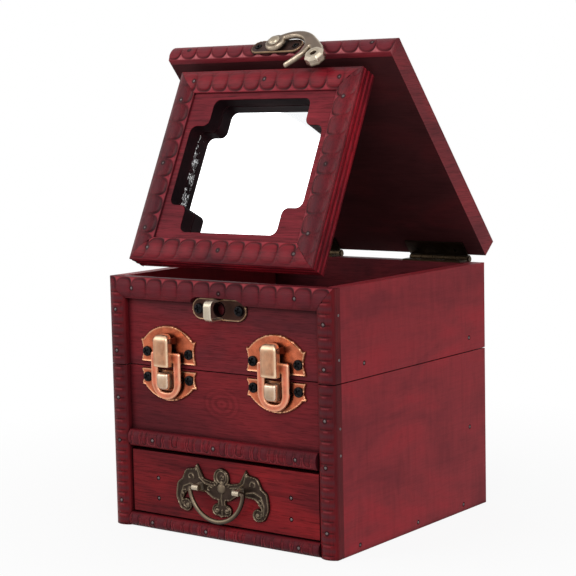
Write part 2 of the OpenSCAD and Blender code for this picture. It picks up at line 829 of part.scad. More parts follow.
// Plate on the tray, with two ears for the tongue's pin
module latch_plates() {
    color(copper) pair(latch_x) difference() {
        union() {
            profile_y([latch_y, front_y]) translate([0, seam_z])
                latch_outline(latch_up, latch_side_up, 1);
            for (s = [-1, 1])
                profile_x([s * (ear_x + ear_t / 2) - ear_t / 2, s * (ear_x + ear_t / 2) + ear_t / 2]) {
                    translate([tongue_pin_y, tongue_pin_z]) circle(ear_r);
                    translate([tongue_pin_y, tongue_pin_z - ear_r])
                        square([tongue_pin_out + eps, 2 * ear_r]);
                }
        }
        pair(latch_screw_x)
            on_front(0, latch_y, seam_z + latch_screw_up) screw_hole();
        bar_x([-latch_w, latch_w], tongue_pin_y, tongue_pin_z, tongue_pin_r + pin_clear);
    }
}
module latch_pins() {
    color(copper) pair(latch_x)
        translate([0, tongue_pin_y, tongue_pin_z]) hinge_pin(2 * (ear_x + ear_t), tongue_pin_r);
}

// Duck-bill tongue: rolled end on the pin, hollow rib, flange with a window for the post
module latch_tongue() {
    wall_y = tongue_pin_y - tongue_roll_r;
    rib_z = seam_z + rib_end;
    flange_mid_z = seam_z - flange_bottom + flange_w / 2;
    difference() {
        union() {
            bar_x([-rib_w / 2, rib_w / 2], tongue_pin_y, tongue_pin_z, tongue_roll_r);
            block([-rib_w / 2, rib_w / 2], [wall_y, flange_y], [rib_z, tongue_pin_z]);
            profile_y([flange_y - latch_t, flange_y]) {
                translate([0, flange_mid_z]) circle(flange_w / 2);
                translate([-flange_w / 2, flange_mid_z])
                    square([flange_w, seam_z + flange_top - flange_mid_z]);
            }
        }
        // Hollow back of the rib
        block([-rib_w / 2 + latch_t, rib_w / 2 - latch_t], [wall_y + latch_t, flange_y + eps],
            [rib_z - eps, tongue_pin_z - tongue_roll_r]);
        // Window over the bar
        block([-window_w / 2, window_w / 2], [wall_y - eps, flange_y + eps],
            [seam_z - flange_bottom + bar_h, rib_z]);
        bar_x([-rib_w, rib_w], tongue_pin_y, tongue_pin_z, tongue_pin_r + pin_clear);
    }
}
module latch_tongue_left() {
    color(copper) translate([-latch_x, 0, 0]) latch_tongue();
}
module latch_tongue_right() {
    color(copper) translate([latch_x, 0, 0]) latch_tongue();
}

// Children at the eye plate's screws
module at_eye_screws() {
    pair(eye_screw_x) on_front(0, eye_face_y, eye_z) children();
}
module tray_front_screws() {
    color(black_metal) {
        at_latch_screws(1) screw();
        at_eye_screws() screw();
    }
}
module tray_front() {
    color(wood) difference() {
        block([-in_x, in_x], [front_y, in_front_y], [tray_z, top_z]);
        profile_x([-in_x - eps, in_x + eps]) polygon([
            [in_front_y + eps, top_z + eps],
            [in_front_y - ease_d, top_z + eps],
            [in_front_y + eps, top_z - ease_h]
        ]);
        at_latch_screws(1) screw_hole();
        at_eye_screws() screw_hole();
        bar_y(0, [front_y - eps, front_y + ease_d - corner_lap], eye_z, eye_hole_r);
    }
}
module tray_floor() {
    color(wood_dark) block([-in_x, in_x], [in_front_y, in_back_y], [tray_z, tray_z + tray_floor_t]);
}

// Eye plate with a staple bent out of it
module staple_outline(grow) {
    h = staple_in_h / 2 + grow;
    out = eye_face_y - staple_out + staple_t - grow;
    corner = staple_t * 1.5 + grow;
    polygon(rounded([
        [eye_face_y + eye_t / 2, -h, 0],
        [eye_face_y + eye_t / 2, h, 0],
        [out, h, corner],
        [out, -h, corner]
    ]));
}
module eye_plate() {
    color(bronze) {
        difference() {
            profile_y([eye_face_y, front_y]) translate([0, eye_z]) difference() {
                capsule(eye_l, eye_h);
                circle(eye_hole_r);
            }
            at_eye_screws() screw_hole();
        }
        profile_x([-staple_w / 2, staple_w / 2]) translate([0, eye_z]) difference() {
            staple_outline(staple_t);
            staple_outline(0);
        }
    }
}

// Children at both screws of both lid hinges: on the tray's back edge, and on the closed lid
module at_lid_hinge_screws() {
    pair(hinge_x) pair(hinge_screw_x)
        facing_up(0, lid_pin[1] - hinge_screw_in, top_z + leaf_t) children();
}
module at_lid_leaf_screws() {
    pair(hinge_x) pair(hinge_screw_x)
        facing_down(0, lid_pin[1] - hinge_screw_in, lid_z - leaf_t) children();
}

// The knuckles and pins lie behind the back boards, the leaves flat on the wood
module tray_hinge_lower_leaves() {
    color(bronze) difference() {
        pair(hinge_x) translate(tray_pin) rotate([-90, 0, 0])
            leaf(hinge_l, 5, 0, leaf_up, -hinge_back, leaf_t, knuckle_r, hinge_pin_r + pin_clear);
        at_tray_hinge_screws(-1) flush_head_hole(leaf_t);
    }
}
module tray_hinge_upper_leaves() {
    color(bronze) difference() {
        pair(hinge_x) translate(tray_pin) rotate([90, 0, 0])
            leaf(hinge_l, 5, 1, leaf_up, hinge_back - leaf_t, leaf_t, knuckle_r, hinge_pin_r + pin_clear);
        at_tray_hinge_screws(1) flush_head_hole(leaf_t);
    }
}
module tray_hinge_pins() {
    color(bronze) pair(hinge_x) translate(tray_pin) hinge_pin(hinge_l, hinge_pin_r);
}
module tray_hinge_lower_screws() {
    color(bronze) at_tray_hinge_screws(-1) flush_screw(leaf_t, screw_l);
}
module tray_hinge_upper_screws() {
    color(bronze) at_tray_hinge_screws(1) flush_screw(leaf_t, screw_l);
}
module lid_hinge_lower_leaves() {
    color(bronze) difference() {
        pair(hinge_x) translate(lid_pin) rotate([0, 0, 180])
            leaf(hinge_l, 5, 0, leaf_down, -lid_gap / 2, leaf_t, knuckle_r, hinge_pin_r + pin_clear);
        at_lid_hinge_screws() flush_head_hole(leaf_t);
    }
}
module lid_hinge_pins() {
    color(bronze) pair(hinge_x) translate(lid_pin) hinge_pin(hinge_l, hinge_pin_r);
}
module lid_hinge_lower_screws() {
    color(bronze) at_lid_hinge_screws() flush_screw(leaf_t, screw_l);
}
module lid_hinge_upper_leaves() {
    color(bronze) lid_place() difference() {
        pair(hinge_x) translate(lid_pin) rotate([0, 0, 180])
            leaf(hinge_l, 5, 1, leaf_up, lid_gap / 2 - leaf_t, leaf_t, knuckle_r,
                hinge_pin_r + pin_clear);
        at_lid_leaf_screws() flush_head_hole(leaf_t);
    }
}
module lid_hinge_upper_screws() {
    color(bronze) lid_place() {
        at_lid_leaf_screws() flush_screw(leaf_t, screw_l);
        at_mirror_lid_screws() flush_screw(mirror_leaf_t, screw_l);
    }
}

// Children at the screws of the mirror hinges' leaves on the lid, and at those on the frame
module at_mirror_lid_screws() {
    pair(mirror_hinge_x) pair(mirror_hinge_l / 4)
        facing_down(0, mirror_pin[1] + mirror_leaf_l * 0.6, lid_z - mirror_leaf_t) children();
}
module lid_panel() {
    color(wood) lid_place() difference() {
        block([-half_w, half_w], [front_y, back_y], [lid_z, lid_top_z]);
        at_lid_leaf_screws() translate([0, 0, -leaf_t]) flush_pilot(screw_l);
        at_mirror_lid_screws() translate([0, 0, -mirror_leaf_t]) flush_pilot(screw_l);
    }
}

lid_nail_x = half_w - lid_nail_end;
module lid_front_trim() {
    color(wood_dark) lid_place() difference() {
        rail_trim(half_w, [lid_z, lid_top_z], [-lid_nail_x, lid_nail_x]);
        profile_y([crest_y - eps, seat_y]) translate([0, hook_z])
            capsule(base_plate_l, base_plate_h, fit_gap);
        pair(base_screw_x) on_front(0, base_face_y + base_plate_t, hook_z)
            flush_pilot(base_screw_l);
        bar_y(0, [crest_y - eps, seat_y + base_screw_l], hook_z, rivet_r + pin_clear);
    }
}
module lid_nails() {
    color(steel) lid_place() front_trim_nails([-lid_nail_x, lid_nail_x], hook_z);
}

module hook_base_plate() {
    color(bronze) lid_place() difference() {
        profile_y([base_face_y, seat_y]) translate([0, hook_z]) difference() {
            capsule(base_plate_l, base_plate_h);
            circle(rivet_r + pin_clear);
        }
        pair(base_screw_x) on_front(0, base_face_y, hook_z) flush_head_hole(base_plate_t);
    }
}
module hook_screws() {
    color(black_metal) lid_place() pair(base_screw_x) on_front(0, base_face_y, hook_z)
        flush_screw(base_plate_t, base_screw_l);
}

// Rivet: shank in the moulding, a collar under the hook and a domed head over it
module hook_rivet() {
    dome_r = (rivet_head_r * rivet_head_r + rivet_head_h * rivet_head_h) / (2 * rivet_head_h);
    head_y = hook_face_y - pin_clear;
    color(bronze) lid_place() {
        bar_y(0, [head_y - eps, seat_y + base_screw_l], hook_z, rivet_r);
        bar_y(0, [hook_back_y + pin_clear, base_face_y], hook_z, rivet_r * 1.5);
        on_front(0, head_y, hook_z) intersection() {
            translate([0, 0, rivet_head_h - dome_r]) sphere(dome_r);
            cylinder(h = rivet_head_h, r = rivet_head_r);
        }
    }
}

// Swan hook, from the rivet at the origin: a crescent that ends in a thin finger and a knob
hook_outer = [9.5, -9.5, 16.2];
hook_inner = [8.2, -6.2, 9.6];
knob_at = [27.6, -11.4];
hook_finger = [
    [17.6, -3.5, 0], [17.4, -8, 6], [15.3, -11.8, 8], [12.9, -15.8, 0.4],
    [14.1, -16.3, 0.4], [17.5, -12.2, 8], [20.1, -8.4, 6], [20.9, -3.5, 0]
];
hook_shoulder = [
    [17.8, -4.5, 0], [20.9, -4.2, 0.8], [23.6, -8.4, 0.8], [30.4, -8.6, 0],
    [27.2, -3.6, 5], [21.5, 1.6, 6], [16, 4.5, 0]
];
module hook_outline() {
    circle(hook_boss_r);
    difference() {
        translate([hook_outer[0], hook_outer[1]]) circle(hook_outer[2], $fn = 96);
        translate([hook_inner[0], hook_inner[1]]) circle(hook_inner[2], $fn = 96);
        translate([-hook_outer[2], -2 * hook_outer[2] - 1])
            square([hook_outer[2] + hook_inner[0], 2 * hook_outer[2]]);
        translate([0, -2 * hook_outer[2] - 4]) square(2 * hook_outer[2]);
    }
    polygon(rounded(hook_finger));
    polygon(rounded(hook_shoulder));
}
module hook() {
    color(bronze) lid_place() difference() {
        union() {
            profile_y([hook_face_y, hook_back_y]) translate([0, hook_z]) hook_outline();
            profile_y([hook_back_y - knob_t, hook_back_y]) translate([0, hook_z])
                translate(knob_at) circle(knob_r, $fn = 8);
        }
        bar_y(0, [hook_face_y - eps, hook_back_y + eps], hook_z, rivet_r + pin_clear);
        bar_y(knob_at[0], [hook_back_y - knob_t - eps, hook_back_y + eps], hook_z + knob_at[1],
            knob_hole_r);
    }
}

// Mirror hinges, between the lid and the back of the mirror frame
module mirror_hinge_lid_leaves() {
    color(bronze) lid_place() difference() {
        pair(mirror_hinge_x) translate(mirror_pin)
            leaf(mirror_hinge_l, 3, 1, mirror_leaf_l, mirror_gap / 2 - mirror_leaf_t, mirror_leaf_t,
                mirror_knuckle_r, mirror_pin_r + pin_clear);
        at_mirror_lid_screws() flush_head_hole(mirror_leaf_t);
    }
}
module mirror_hinge_pins() {
    color(bronze) lid_place() pair(mirror_hinge_x)
        translate(mirror_pin) bar_x([-mirror_hinge_l / 2, mirror_hinge_l / 2], 0, 0, mirror_pin_r);
}
module mirror_hinge_frame_leaves() {
    color(bronze) mirror_place() pair(mirror_hinge_x) translate(mirror_pin)
        leaf(mirror_hinge_l, 3, 0, mirror_leaf_l, -mirror_gap / 2, mirror_leaf_t,
            mirror_knuckle_r, mirror_pin_r + pin_clear);
}

module mirror_backing() {
    color(wood_dark) mirror_place()
        block([-mirror_in_x + fit_gap, mirror_in_x - fit_gap],
            [mirror_in_y[0] + fit_gap, mirror_in_y[1] - fit_gap],
            [mirror_z - backing_t, mirror_z]);
}
module mirror_glass() {
    color([0.86, 0.89, 0.9]) mirror_place()
        block([-mirror_in_x + 2 * fit_gap, mirror_in_x - 2 * fit_gap],
            [mirror_in_y[0] + 2 * fit_gap, mirror_in_y[1] - 2 * fit_gap],
            [glass_z, mirror_z - backing_t]);
}

// Window with notched, rounded corners, centred
module window_outline() {
    a = window_l / 2;
    b = window_h / 2;
    c = a - notch_w;
    d = b - notch_h;
    quarter = [[a, d, window_r], [c, d, window_r], [c, b, window_r]];
    polygon(rounded([
        each [for (p = quarter) [p[0], p[1], p[2]]],
        each [for (i = [2:-1:0]) [-quarter[i][0], quarter[i][1], quarter[i][2]]],
        each [for (p = quarter) [-p[0], -p[1], p[2]]],
        each [for (i = [2:-1:0]) [quarter[i][0], -quarter[i][1], quarter[i][2]]]
    ]));
}
module mirror_window_board() {
    x = mirror_in_x - fit_gap;
    color(wood_light) mirror_place() profile_z([board_z, glass_z]) difference() {
        translate([-x, mirror_in_y[0] + fit_gap])
            square([2 * x, mirror_in_y[1] - mirror_in_y[0] - 2 * fit_gap]);
        translate([0, mirror_mid_y]) window_outline();
    }
}

// Four mitred strips around the mirror frame. A child is the strip's section: its outer edge
// is at x = 0, it reaches inwards along +X, and its y is the height in the closed lid.
module mitred_frame(width) {
    half_l = mirror_l / 2;
    for (s = [0, 180])
        translate([0, mirror_mid_y, 0]) rotate([0, 0, s]) {
            intersection() {
                translate([0, -half_l, 0]) profile_x([-mirror_x, mirror_x]) children();
                profile_z([board_z - 2 * face_trim_proud, mirror_z + 1]) polygon([
                    [-mirror_x + mitre_gap, -half_l], [mirror_x - mitre_gap, -half_l],
                    [mirror_x - width - mitre_gap, -half_l + width],
                    [-mirror_x + width + mitre_gap, -half_l + width]
                ]);
            }
            intersection() {
                translate([-mirror_x, 0, 0]) profile_y([-half_l, half_l]) children();
                profile_z([board_z - 2 * face_trim_proud, mirror_z + 1]) polygon([
                    [-mirror_x, -half_l], [-mirror_x + width, -half_l + width],
                    [-mirror_x + width, half_l - width], [-mirror_x, half_l]
                ]);
            }
        }
}
module rail_section() {
    rail_h_w = mirror_z - board_z;
    difference() {
        translate([0, board_z]) square([mirror_rail_w, rail_h_w]);
        for (i = [1, 2])
            translate([0, board_z + i * rail_h_w / 3]) circle(groove_r);
    }
}
module mirror_rails() {
    color(wood) mirror_place() mitred_frame(mirror_rail_w) rail_section();
}
module mirror_face_trims() {
    color(wood_dark) mirror_place() difference() {
        mitred_frame(face_trim_w) translate([face_trim_w / 2, board_z]) mirror([0, 1])
            half_round(face_trim_w, face_trim_proud, face_trim_edge);
        at_mirror_nails() nail_hole(face_trim_proud + eps);
    }
}

// Children at the three nails of each face moulding
module at_mirror_nails() {
    x = mirror_x - face_trim_w / 2;
    y = mirror_l / 2 - face_trim_w / 2;
    translate([0, mirror_mid_y, 0]) {
        for (i = [-1:1], s = [-1, 1])
            facing_down(i * (x - nail_l), s * y, board_z - face_trim_proud) children();
        for (i = [-1:1], s = [-1, 1])
            facing_down(s * x, i * (y - 2 * nail_l), board_z - face_trim_proud) children();
    }
}
module mirror_nails() {
    color(steel) mirror_place() at_mirror_nails() nail(face_trim_proud);
}

// Drawer: a face nailed to a box of two ends and two sides, with a thin bottom
face_nails = [for (sx = [-1, 1], sz = [-1, 1])
    [sx * face_nail_x, drawer_z + drawer_h / 2 + sz * face_nail_pitch / 2]];
module drawer_face() {
    color(wood) difference() {
        block([-face_x, face_x], [face_y, face_back_y], face_z);
        for (n = face_nails)
            on_front(n[0], face_y, n[1]) nail_hole(nail_l);
    }
}
module drawer_sides() {
    color(wood_dark) both_sides()
        block([drawer_x - drawer_t, drawer_x], [face_back_y, drawer_back_y],
            [drawer_z, drawer_z + drawer_h]);
}
module drawer_ends() {
    x = drawer_x - drawer_t;
    z = [drawer_z, drawer_z + drawer_h];
    color(wood_dark) {
        block([-x, x], [face_back_y, face_back_y + drawer_t], z);
        block([-x, x], [drawer_back_y - drawer_t, drawer_back_y], z);
    }
}
module drawer_bottom() {
    x = drawer_x - drawer_t;
    color(wood_dark) block([-x, x], [face_back_y + drawer_t, drawer_back_y - drawer_t],
        [drawer_z, drawer_z + drawer_floor_t]);
}
module drawer_nails() {
    color(steel) for (n = face_nails)
        on_front(n[0], face_y, n[1]) nail(nail_l);
}

// Right half of the pull's outline, from the pivot's height on the middle line:
// a wing with a horn and a curled end, half the body, the head and the tail
module wing_half() {
    curl = [wing_x - 6, -9.2];
    polygon(rounded([
        [0, 3.5, 0], [5, 2.6, 2], [9.6, 3.4, 2], [13.2, 9.6, 0.3], [14.6, 7.4, 0.4],
        [19.5, 6.8, 3], [21.6, 2.4, 1.2], [24.4, 0.4, 2.5], [wing_x, -6, 6],
        [wing_x - 3, -12.4, 2.6], [curl[0] - 0.2, -11, 0.8], [curl[0] + 2.6, -7.6, 3],
        [18.6, -2.8, 4], [13.4, -2.4, 2], [8.5, -2.6, 2], [4.6, -5, 2], [0, -5.5, 0]
    ]));
    translate(curl) circle(2.9);
}
module pull_outline() {
    for (s = [0, 1])
        mirror([s, 0]) wing_half();
    translate([0, 4.6]) circle(4.2);
    polygon([[-3, 1], [3, 1], [1.9, -4.5], [2.5, -9.4], [-2.5, -9.4], [-1.9, -4.5]]);
    pair_2d(2.6) translate([0, -9.4]) circle(2.7);
    polygon([[-4.6, -10.9], [0, -9.1], [4.6, -10.9], [0, -12.7]]);
}
module pair_2d(x) {
    for (s = [-1, 1])
        translate([s * x, 0]) children();
}
module pull_plate() {
    color(bronze) difference() {
        union() {
            profile_y([pull_y, face_y]) translate([0, bail_z]) pull_outline();
            both_sides() {
                bar_x(lug_x, bail_y, bail_z, lug_r);
                block([lug_x[0] + lug_l / 4, lug_x[1] - lug_l / 4], [bail_y, pull_y + eps],
                    [bail_z - lug_r * 0.8, bail_z + lug_r * 0.8]);
            }
        }
        bar_x([-half_w, half_w], bail_y, bail_z, rod_end_r + pin_clear);
    }
}
module pull_bail() {
    arc_z = bail_z + bow_arc_r - bow_drop;
    end_x = bow_arc_r * cos(bow_end_a);
    color(bronze) {
        translate([0, bail_y, arc_z]) rotate([90, 0, 0])
            rotate([0, 0, 180 + bow_end_a])
                rotate_extrude(angle = 180 - 2 * bow_end_a, $fn = 96)
                    translate([bow_arc_r, 0]) circle(rod_r, $fn = 24);
        for (s = [-1, 1]) {
            translate([s * end_x, bail_y, bail_z]) sphere(rod_r, $fn = 24);
            bar_x(s > 0 ? [lug_x[0], end_x] : [-end_x, -lug_x[0]], bail_y, bail_z, rod_end_r);
        }
    }
}

carcass_left_side();
carcass_right_side();
carcass_back();
carcass_base();
carcass_front_panel();
drawer_bay_shelf();
drawer_guides();
mid_rail_trim();
bottom_rail_trim();
corner_trims_lower();
carcass_nails();
catch_plates();
catch_screws();
tray_hinge_lower_leaves();
tray_hinge_pins();
tray_hinge_lower_screws();
tray_left_side();
tray_right_side();
tray_front();
tray_back();
tray_floor();
tray_top_trim();
corner_trims_upper();
tray_nails();
eye_plate();
latch_plates();
latch_pins();
tray_front_screws();
tray_hinge_upper_leaves();
tray_hinge_upper_screws();
lid_hinge_lower_leaves();
lid_hinge_pins();
lid_hinge_lower_screws();
lid_panel();
lid_front_trim();
lid_nails();
hook_base_plate();
hook_screws();
hook_rivet();
lid_hinge_upper_leaves();
lid_hinge_upper_screws();
mirror_hinge_lid_leaves();
mirror_hinge_pins();
mirror_backing();
mirror_glass();
mirror_window_board();
mirror_rails();
mirror_face_trims();
mirror_nails();
mirror_hinge_frame_leaves();
hook();
latch_tongue_left();
latch_tongue_right();
drawer_face();
drawer_sides();
drawer_ends();
drawer_bottom();
drawer_nails();
pull_plate();
pull_bail();
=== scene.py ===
"""Looks of the red-stained vanity box: stamped mouldings, eased boards, copper latches,
a cast pull in old bronze and a mirror in its frame. Lengths are millimetres until the mesh is
made."""
import math

import bmesh
import bpy
import numpy as np
from mathutils import Matrix, Vector
from mathutils.geometry import delaunay_2d_cdt


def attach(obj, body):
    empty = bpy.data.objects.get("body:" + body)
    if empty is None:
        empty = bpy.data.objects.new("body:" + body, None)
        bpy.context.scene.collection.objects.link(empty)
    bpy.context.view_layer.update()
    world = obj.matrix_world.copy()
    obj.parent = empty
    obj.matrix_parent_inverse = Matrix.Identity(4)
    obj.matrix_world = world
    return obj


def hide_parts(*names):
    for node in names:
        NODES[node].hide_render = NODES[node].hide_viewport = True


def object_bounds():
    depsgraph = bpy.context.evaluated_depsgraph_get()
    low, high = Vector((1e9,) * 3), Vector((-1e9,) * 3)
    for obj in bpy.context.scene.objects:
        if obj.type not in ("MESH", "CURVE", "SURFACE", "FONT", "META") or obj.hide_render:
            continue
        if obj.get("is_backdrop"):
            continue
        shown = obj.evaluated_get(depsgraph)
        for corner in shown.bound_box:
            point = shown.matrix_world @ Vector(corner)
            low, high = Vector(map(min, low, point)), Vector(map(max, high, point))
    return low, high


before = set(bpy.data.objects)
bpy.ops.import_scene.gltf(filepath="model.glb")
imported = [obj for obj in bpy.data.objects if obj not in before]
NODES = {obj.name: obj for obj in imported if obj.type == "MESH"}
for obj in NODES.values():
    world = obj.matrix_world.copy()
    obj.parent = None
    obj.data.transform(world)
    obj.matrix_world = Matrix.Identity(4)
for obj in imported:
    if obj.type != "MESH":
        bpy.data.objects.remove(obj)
cad_low, cad_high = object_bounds()

# Places that the construction drawing gives
MM = 0.001
HALF_W = 60.0
FRONT_Y = -58.0
PROUD = 4.2
EDGE = 2.4
TOP_Z = 110.6
SEAM_Z = 71.8
CORNER_W = 8.5
LID_PIN = (60.0, 111.5)
MIRROR_PIN = (-49.7, 111.6)
LID_OPEN, MIRROR_OPEN = 50.0, 66.0
MIRROR_X = 49.0
MIRROR_Y = (-48.2, 41.3)
BOARD_Z = 102.0
EYE_Z = 98.7
HOOK_Z = 116.9
SEAT_Y = -61.7
HOOK_BACK_Y = -63.3
FACE_Y = -59.5
BAIL_Y, BAIL_Z = -64.0, 22.4
LATCH_X = 29.0
LATCH_PIN_Y, LATCH_PIN_Z = -62.0, 84.0
LATCH_SCREW_X = 11.7
EYE_PLATE = (29.2, 9.4)
HOOK_PLATE = (27.5, 8.2)

# Choices of the looks
HARD_EDGE = 50
SCALLOP = 8.8
ROD_SIDES = 20
FAR_OFF = 1e9
AT_ONCE = 4000


# ---------------------------------------------------------------- turning parts into place
def turned(co, pin, degrees):
    """Points turned about a line along X through pin (y, z)."""
    c, s = math.cos(math.radians(degrees)), math.sin(math.radians(degrees))
    y, z = co[..., 1] - pin[0], co[..., 2] - pin[1]
    return np.stack([co[..., 0], pin[0] + y * c - z * s, pin[1] + y * s + z * c], axis=-1)


def as_drawn(co):
    return co


def open_lid(co):
    return turned(co, LID_PIN, -LID_OPEN)


def shut_lid(co):
    return turned(co, LID_PIN, LID_OPEN)


def hang_mirror(co):
    return open_lid(turned(co, MIRROR_PIN, -MIRROR_OPEN))


def fold_mirror(co):
    return turned(shut_lid(co), MIRROR_PIN, MIRROR_OPEN)


# ---------------------------------------------------------------- small helpers
def linked(name, data):
    """A new object in the scene."""
    ob = bpy.data.objects.new(name, data)
    bpy.context.scene.collection.objects.link(ob)
    return ob


def soften(ob, width, segments, degrees=None):
    """Rounds an object's hard edges by a width in millimetres."""
    bevel = ob.modifiers.new("rounded", "BEVEL")
    bevel.width = width * MM
    bevel.segments = segments
    bevel.limit_method = "ANGLE"
    if degrees is not None:
        bevel.angle_limit = math.radians(degrees)


def round_angles(n):
    """n angles once round a circle."""
    return np.linspace(0, 2 * math.pi, n, endpoint=False)


def add_node(tree, kind, inputs=(), **settings):
    """A new shader node: each input is linked when it is given a socket, and set otherwise."""
    node = tree.nodes.new(kind)
    for key, value in settings.items():
        setattr(node, key, value)
    for key, value in dict(inputs).items():
        if isinstance(value, bpy.types.NodeSocket):
            tree.links.new(value, node.inputs[key])
        else:
            node.inputs[key].default_value = value
    return node


# ---------------------------------------------------------------- meshes
def volume_of(co, faces):
    """Six times the enclosed volume: for each face, the fan of triangles from its first corner."""
    total = 0.0
    groups = {}
    for f in faces:
        groups.setdefault(len(f), []).append(f)
    for size, fs in groups.items():
        p = co[np.array(fs)]
        for k in range(1, size - 1):
            total += np.einsum("ij,ij->i", p[:, 0], np.cross(p[:, k], p[:, k + 1])).sum()
    return total


def piece(name, co, faces, body, finish, slot, stands_for=(), marks=None, smooth=42):
    """A new piece from points in millimetres. Its faces are turned outwards as a whole, and
    marks are numbers kept at each point for the finish to read."""
    co = np.asarray(co, float)
    faces = [list(f) for f in faces]
    if volume_of(co, faces) < 0:
        faces = [f[::-1] for f in faces]
    mesh = bpy.data.meshes.new(name)
    mesh.from_pydata((co * MM).tolist(), [], faces)
    for key, values in (marks or {}).items():
        layer = mesh.attributes.new(key, "FLOAT", "POINT")
        layer.data.foreach_set("value", np.asarray(values, np.float32).ravel())
    mesh.polygons.foreach_set("use_smooth", np.ones(len(mesh.polygons), bool))
    mesh.set_sharp_from_angle(angle=math.radians(smooth))
    mesh.materials.append(finish)
    mesh.update()
    ob = linked(name, mesh)
    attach(ob, body)
    if stands_for:
        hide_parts(*stands_for)
    return ob


def grid_faces(rows, cols, start=0, closed=True):
    """Four-cornered faces between rows of points; closed joins each row's last point to its
    first."""
    i, j = np.meshgrid(np.arange(rows - 1), np.arange(cols if closed else cols - 1), indexing="ij")
    k = (j + 1) % cols
    quads = np.stack([i * cols + j, i * cols + k, (i + 1) * cols + k, (i + 1) * cols + j], axis=-1)
    return (quads.reshape(-1, 4) + start).tolist()


def tube_faces(rows, cols, start=0):
    """A closed tube of rows, with one face over each end."""
    faces = grid_faces(rows, cols, start)
    faces.append([start + j for j in range(cols)][::-1])
    faces.append([start + (rows - 1) * cols + j for j in range(cols)])
    return faces


def gather(parts):
    """Several (points, faces) pairs as one, the faces counted on."""
    co, faces, start = [], [], 0
    for points, fs in parts:
        points = np.asarray(points, float)
        co.append(points)
        faces += [[v + start for v in f] for f in fs]
        start += len(points)
    return np.concatenate(co), faces


def turned_shape(profile, sides, place):
    """A profile of (radius, height) turned about an axis: the point at angle a is
    (radius cos a, radius sin a, height), and place puts it on the box."""
    profile = np.asarray(profile, float)
    a = round_angles(sides)
    r, h = profile[:, :1], profile[:, 1:]
    co = np.stack([r * np.cos(a), r * np.sin(a), h + 0 * a], axis=-1).reshape(-1, 3)
    return place(co), tube_faces(len(profile), sides)


def prism(outline, x0, x1):
    """An outline in (y, z) drawn out along X."""
    outline = np.asarray(outline, float)
    n = len(outline)
    co = np.concatenate([np.column_stack([np.full(n, x), outline]) for x in (x0, x1)])
    return co, tube_faces(2, n)


def eased(node, body, finish, width, inside=None, walls=False):
    """A copy of a drawn board with its edges eased: the doubles are merged, flat triangles joined,
    and each hard edge is bevelled by width. inside = (finish, direction) dresses the faces that
    look that way apart, or with walls the faces that stand square to it."""
    mesh = NODES[node].data.copy()
    mesh.name = node + "_board"
    bm = bmesh.new()
    bm.from_mesh(mesh)
    bmesh.ops.remove_doubles(bm, verts=bm.verts, dist=1e-6)
    bmesh.ops.dissolve_limit(bm, angle_limit=math.radians(1), verts=bm.verts, edges=bm.edges)
    bm.normal_update()
    second = []
    for f in bm.faces:
        f.smooth = True
        along = f.normal.dot(Vector(inside[1])) if inside else 0
        second.append(1 if inside and (abs(along) < 0.2 if walls else along > 0.95) else 0)
    bm.to_mesh(mesh)
    bm.free()
    mesh.materials.clear()
    mesh.materials.append(finish)
    if inside:
        mesh.materials.append(inside[0])
    mesh.polygons.foreach_set("material_index", second)
    for layer in list(mesh.attributes):
        if layer.name == "custom_normal":
            mesh.attributes.remove(layer)
    mesh.set_sharp_from_angle(angle=math.radians(HARD_EDGE))
    ob = linked(node + "_board", mesh)
    soften(ob, width, 2, HARD_EDGE)
    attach(ob, body)
    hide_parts(node)


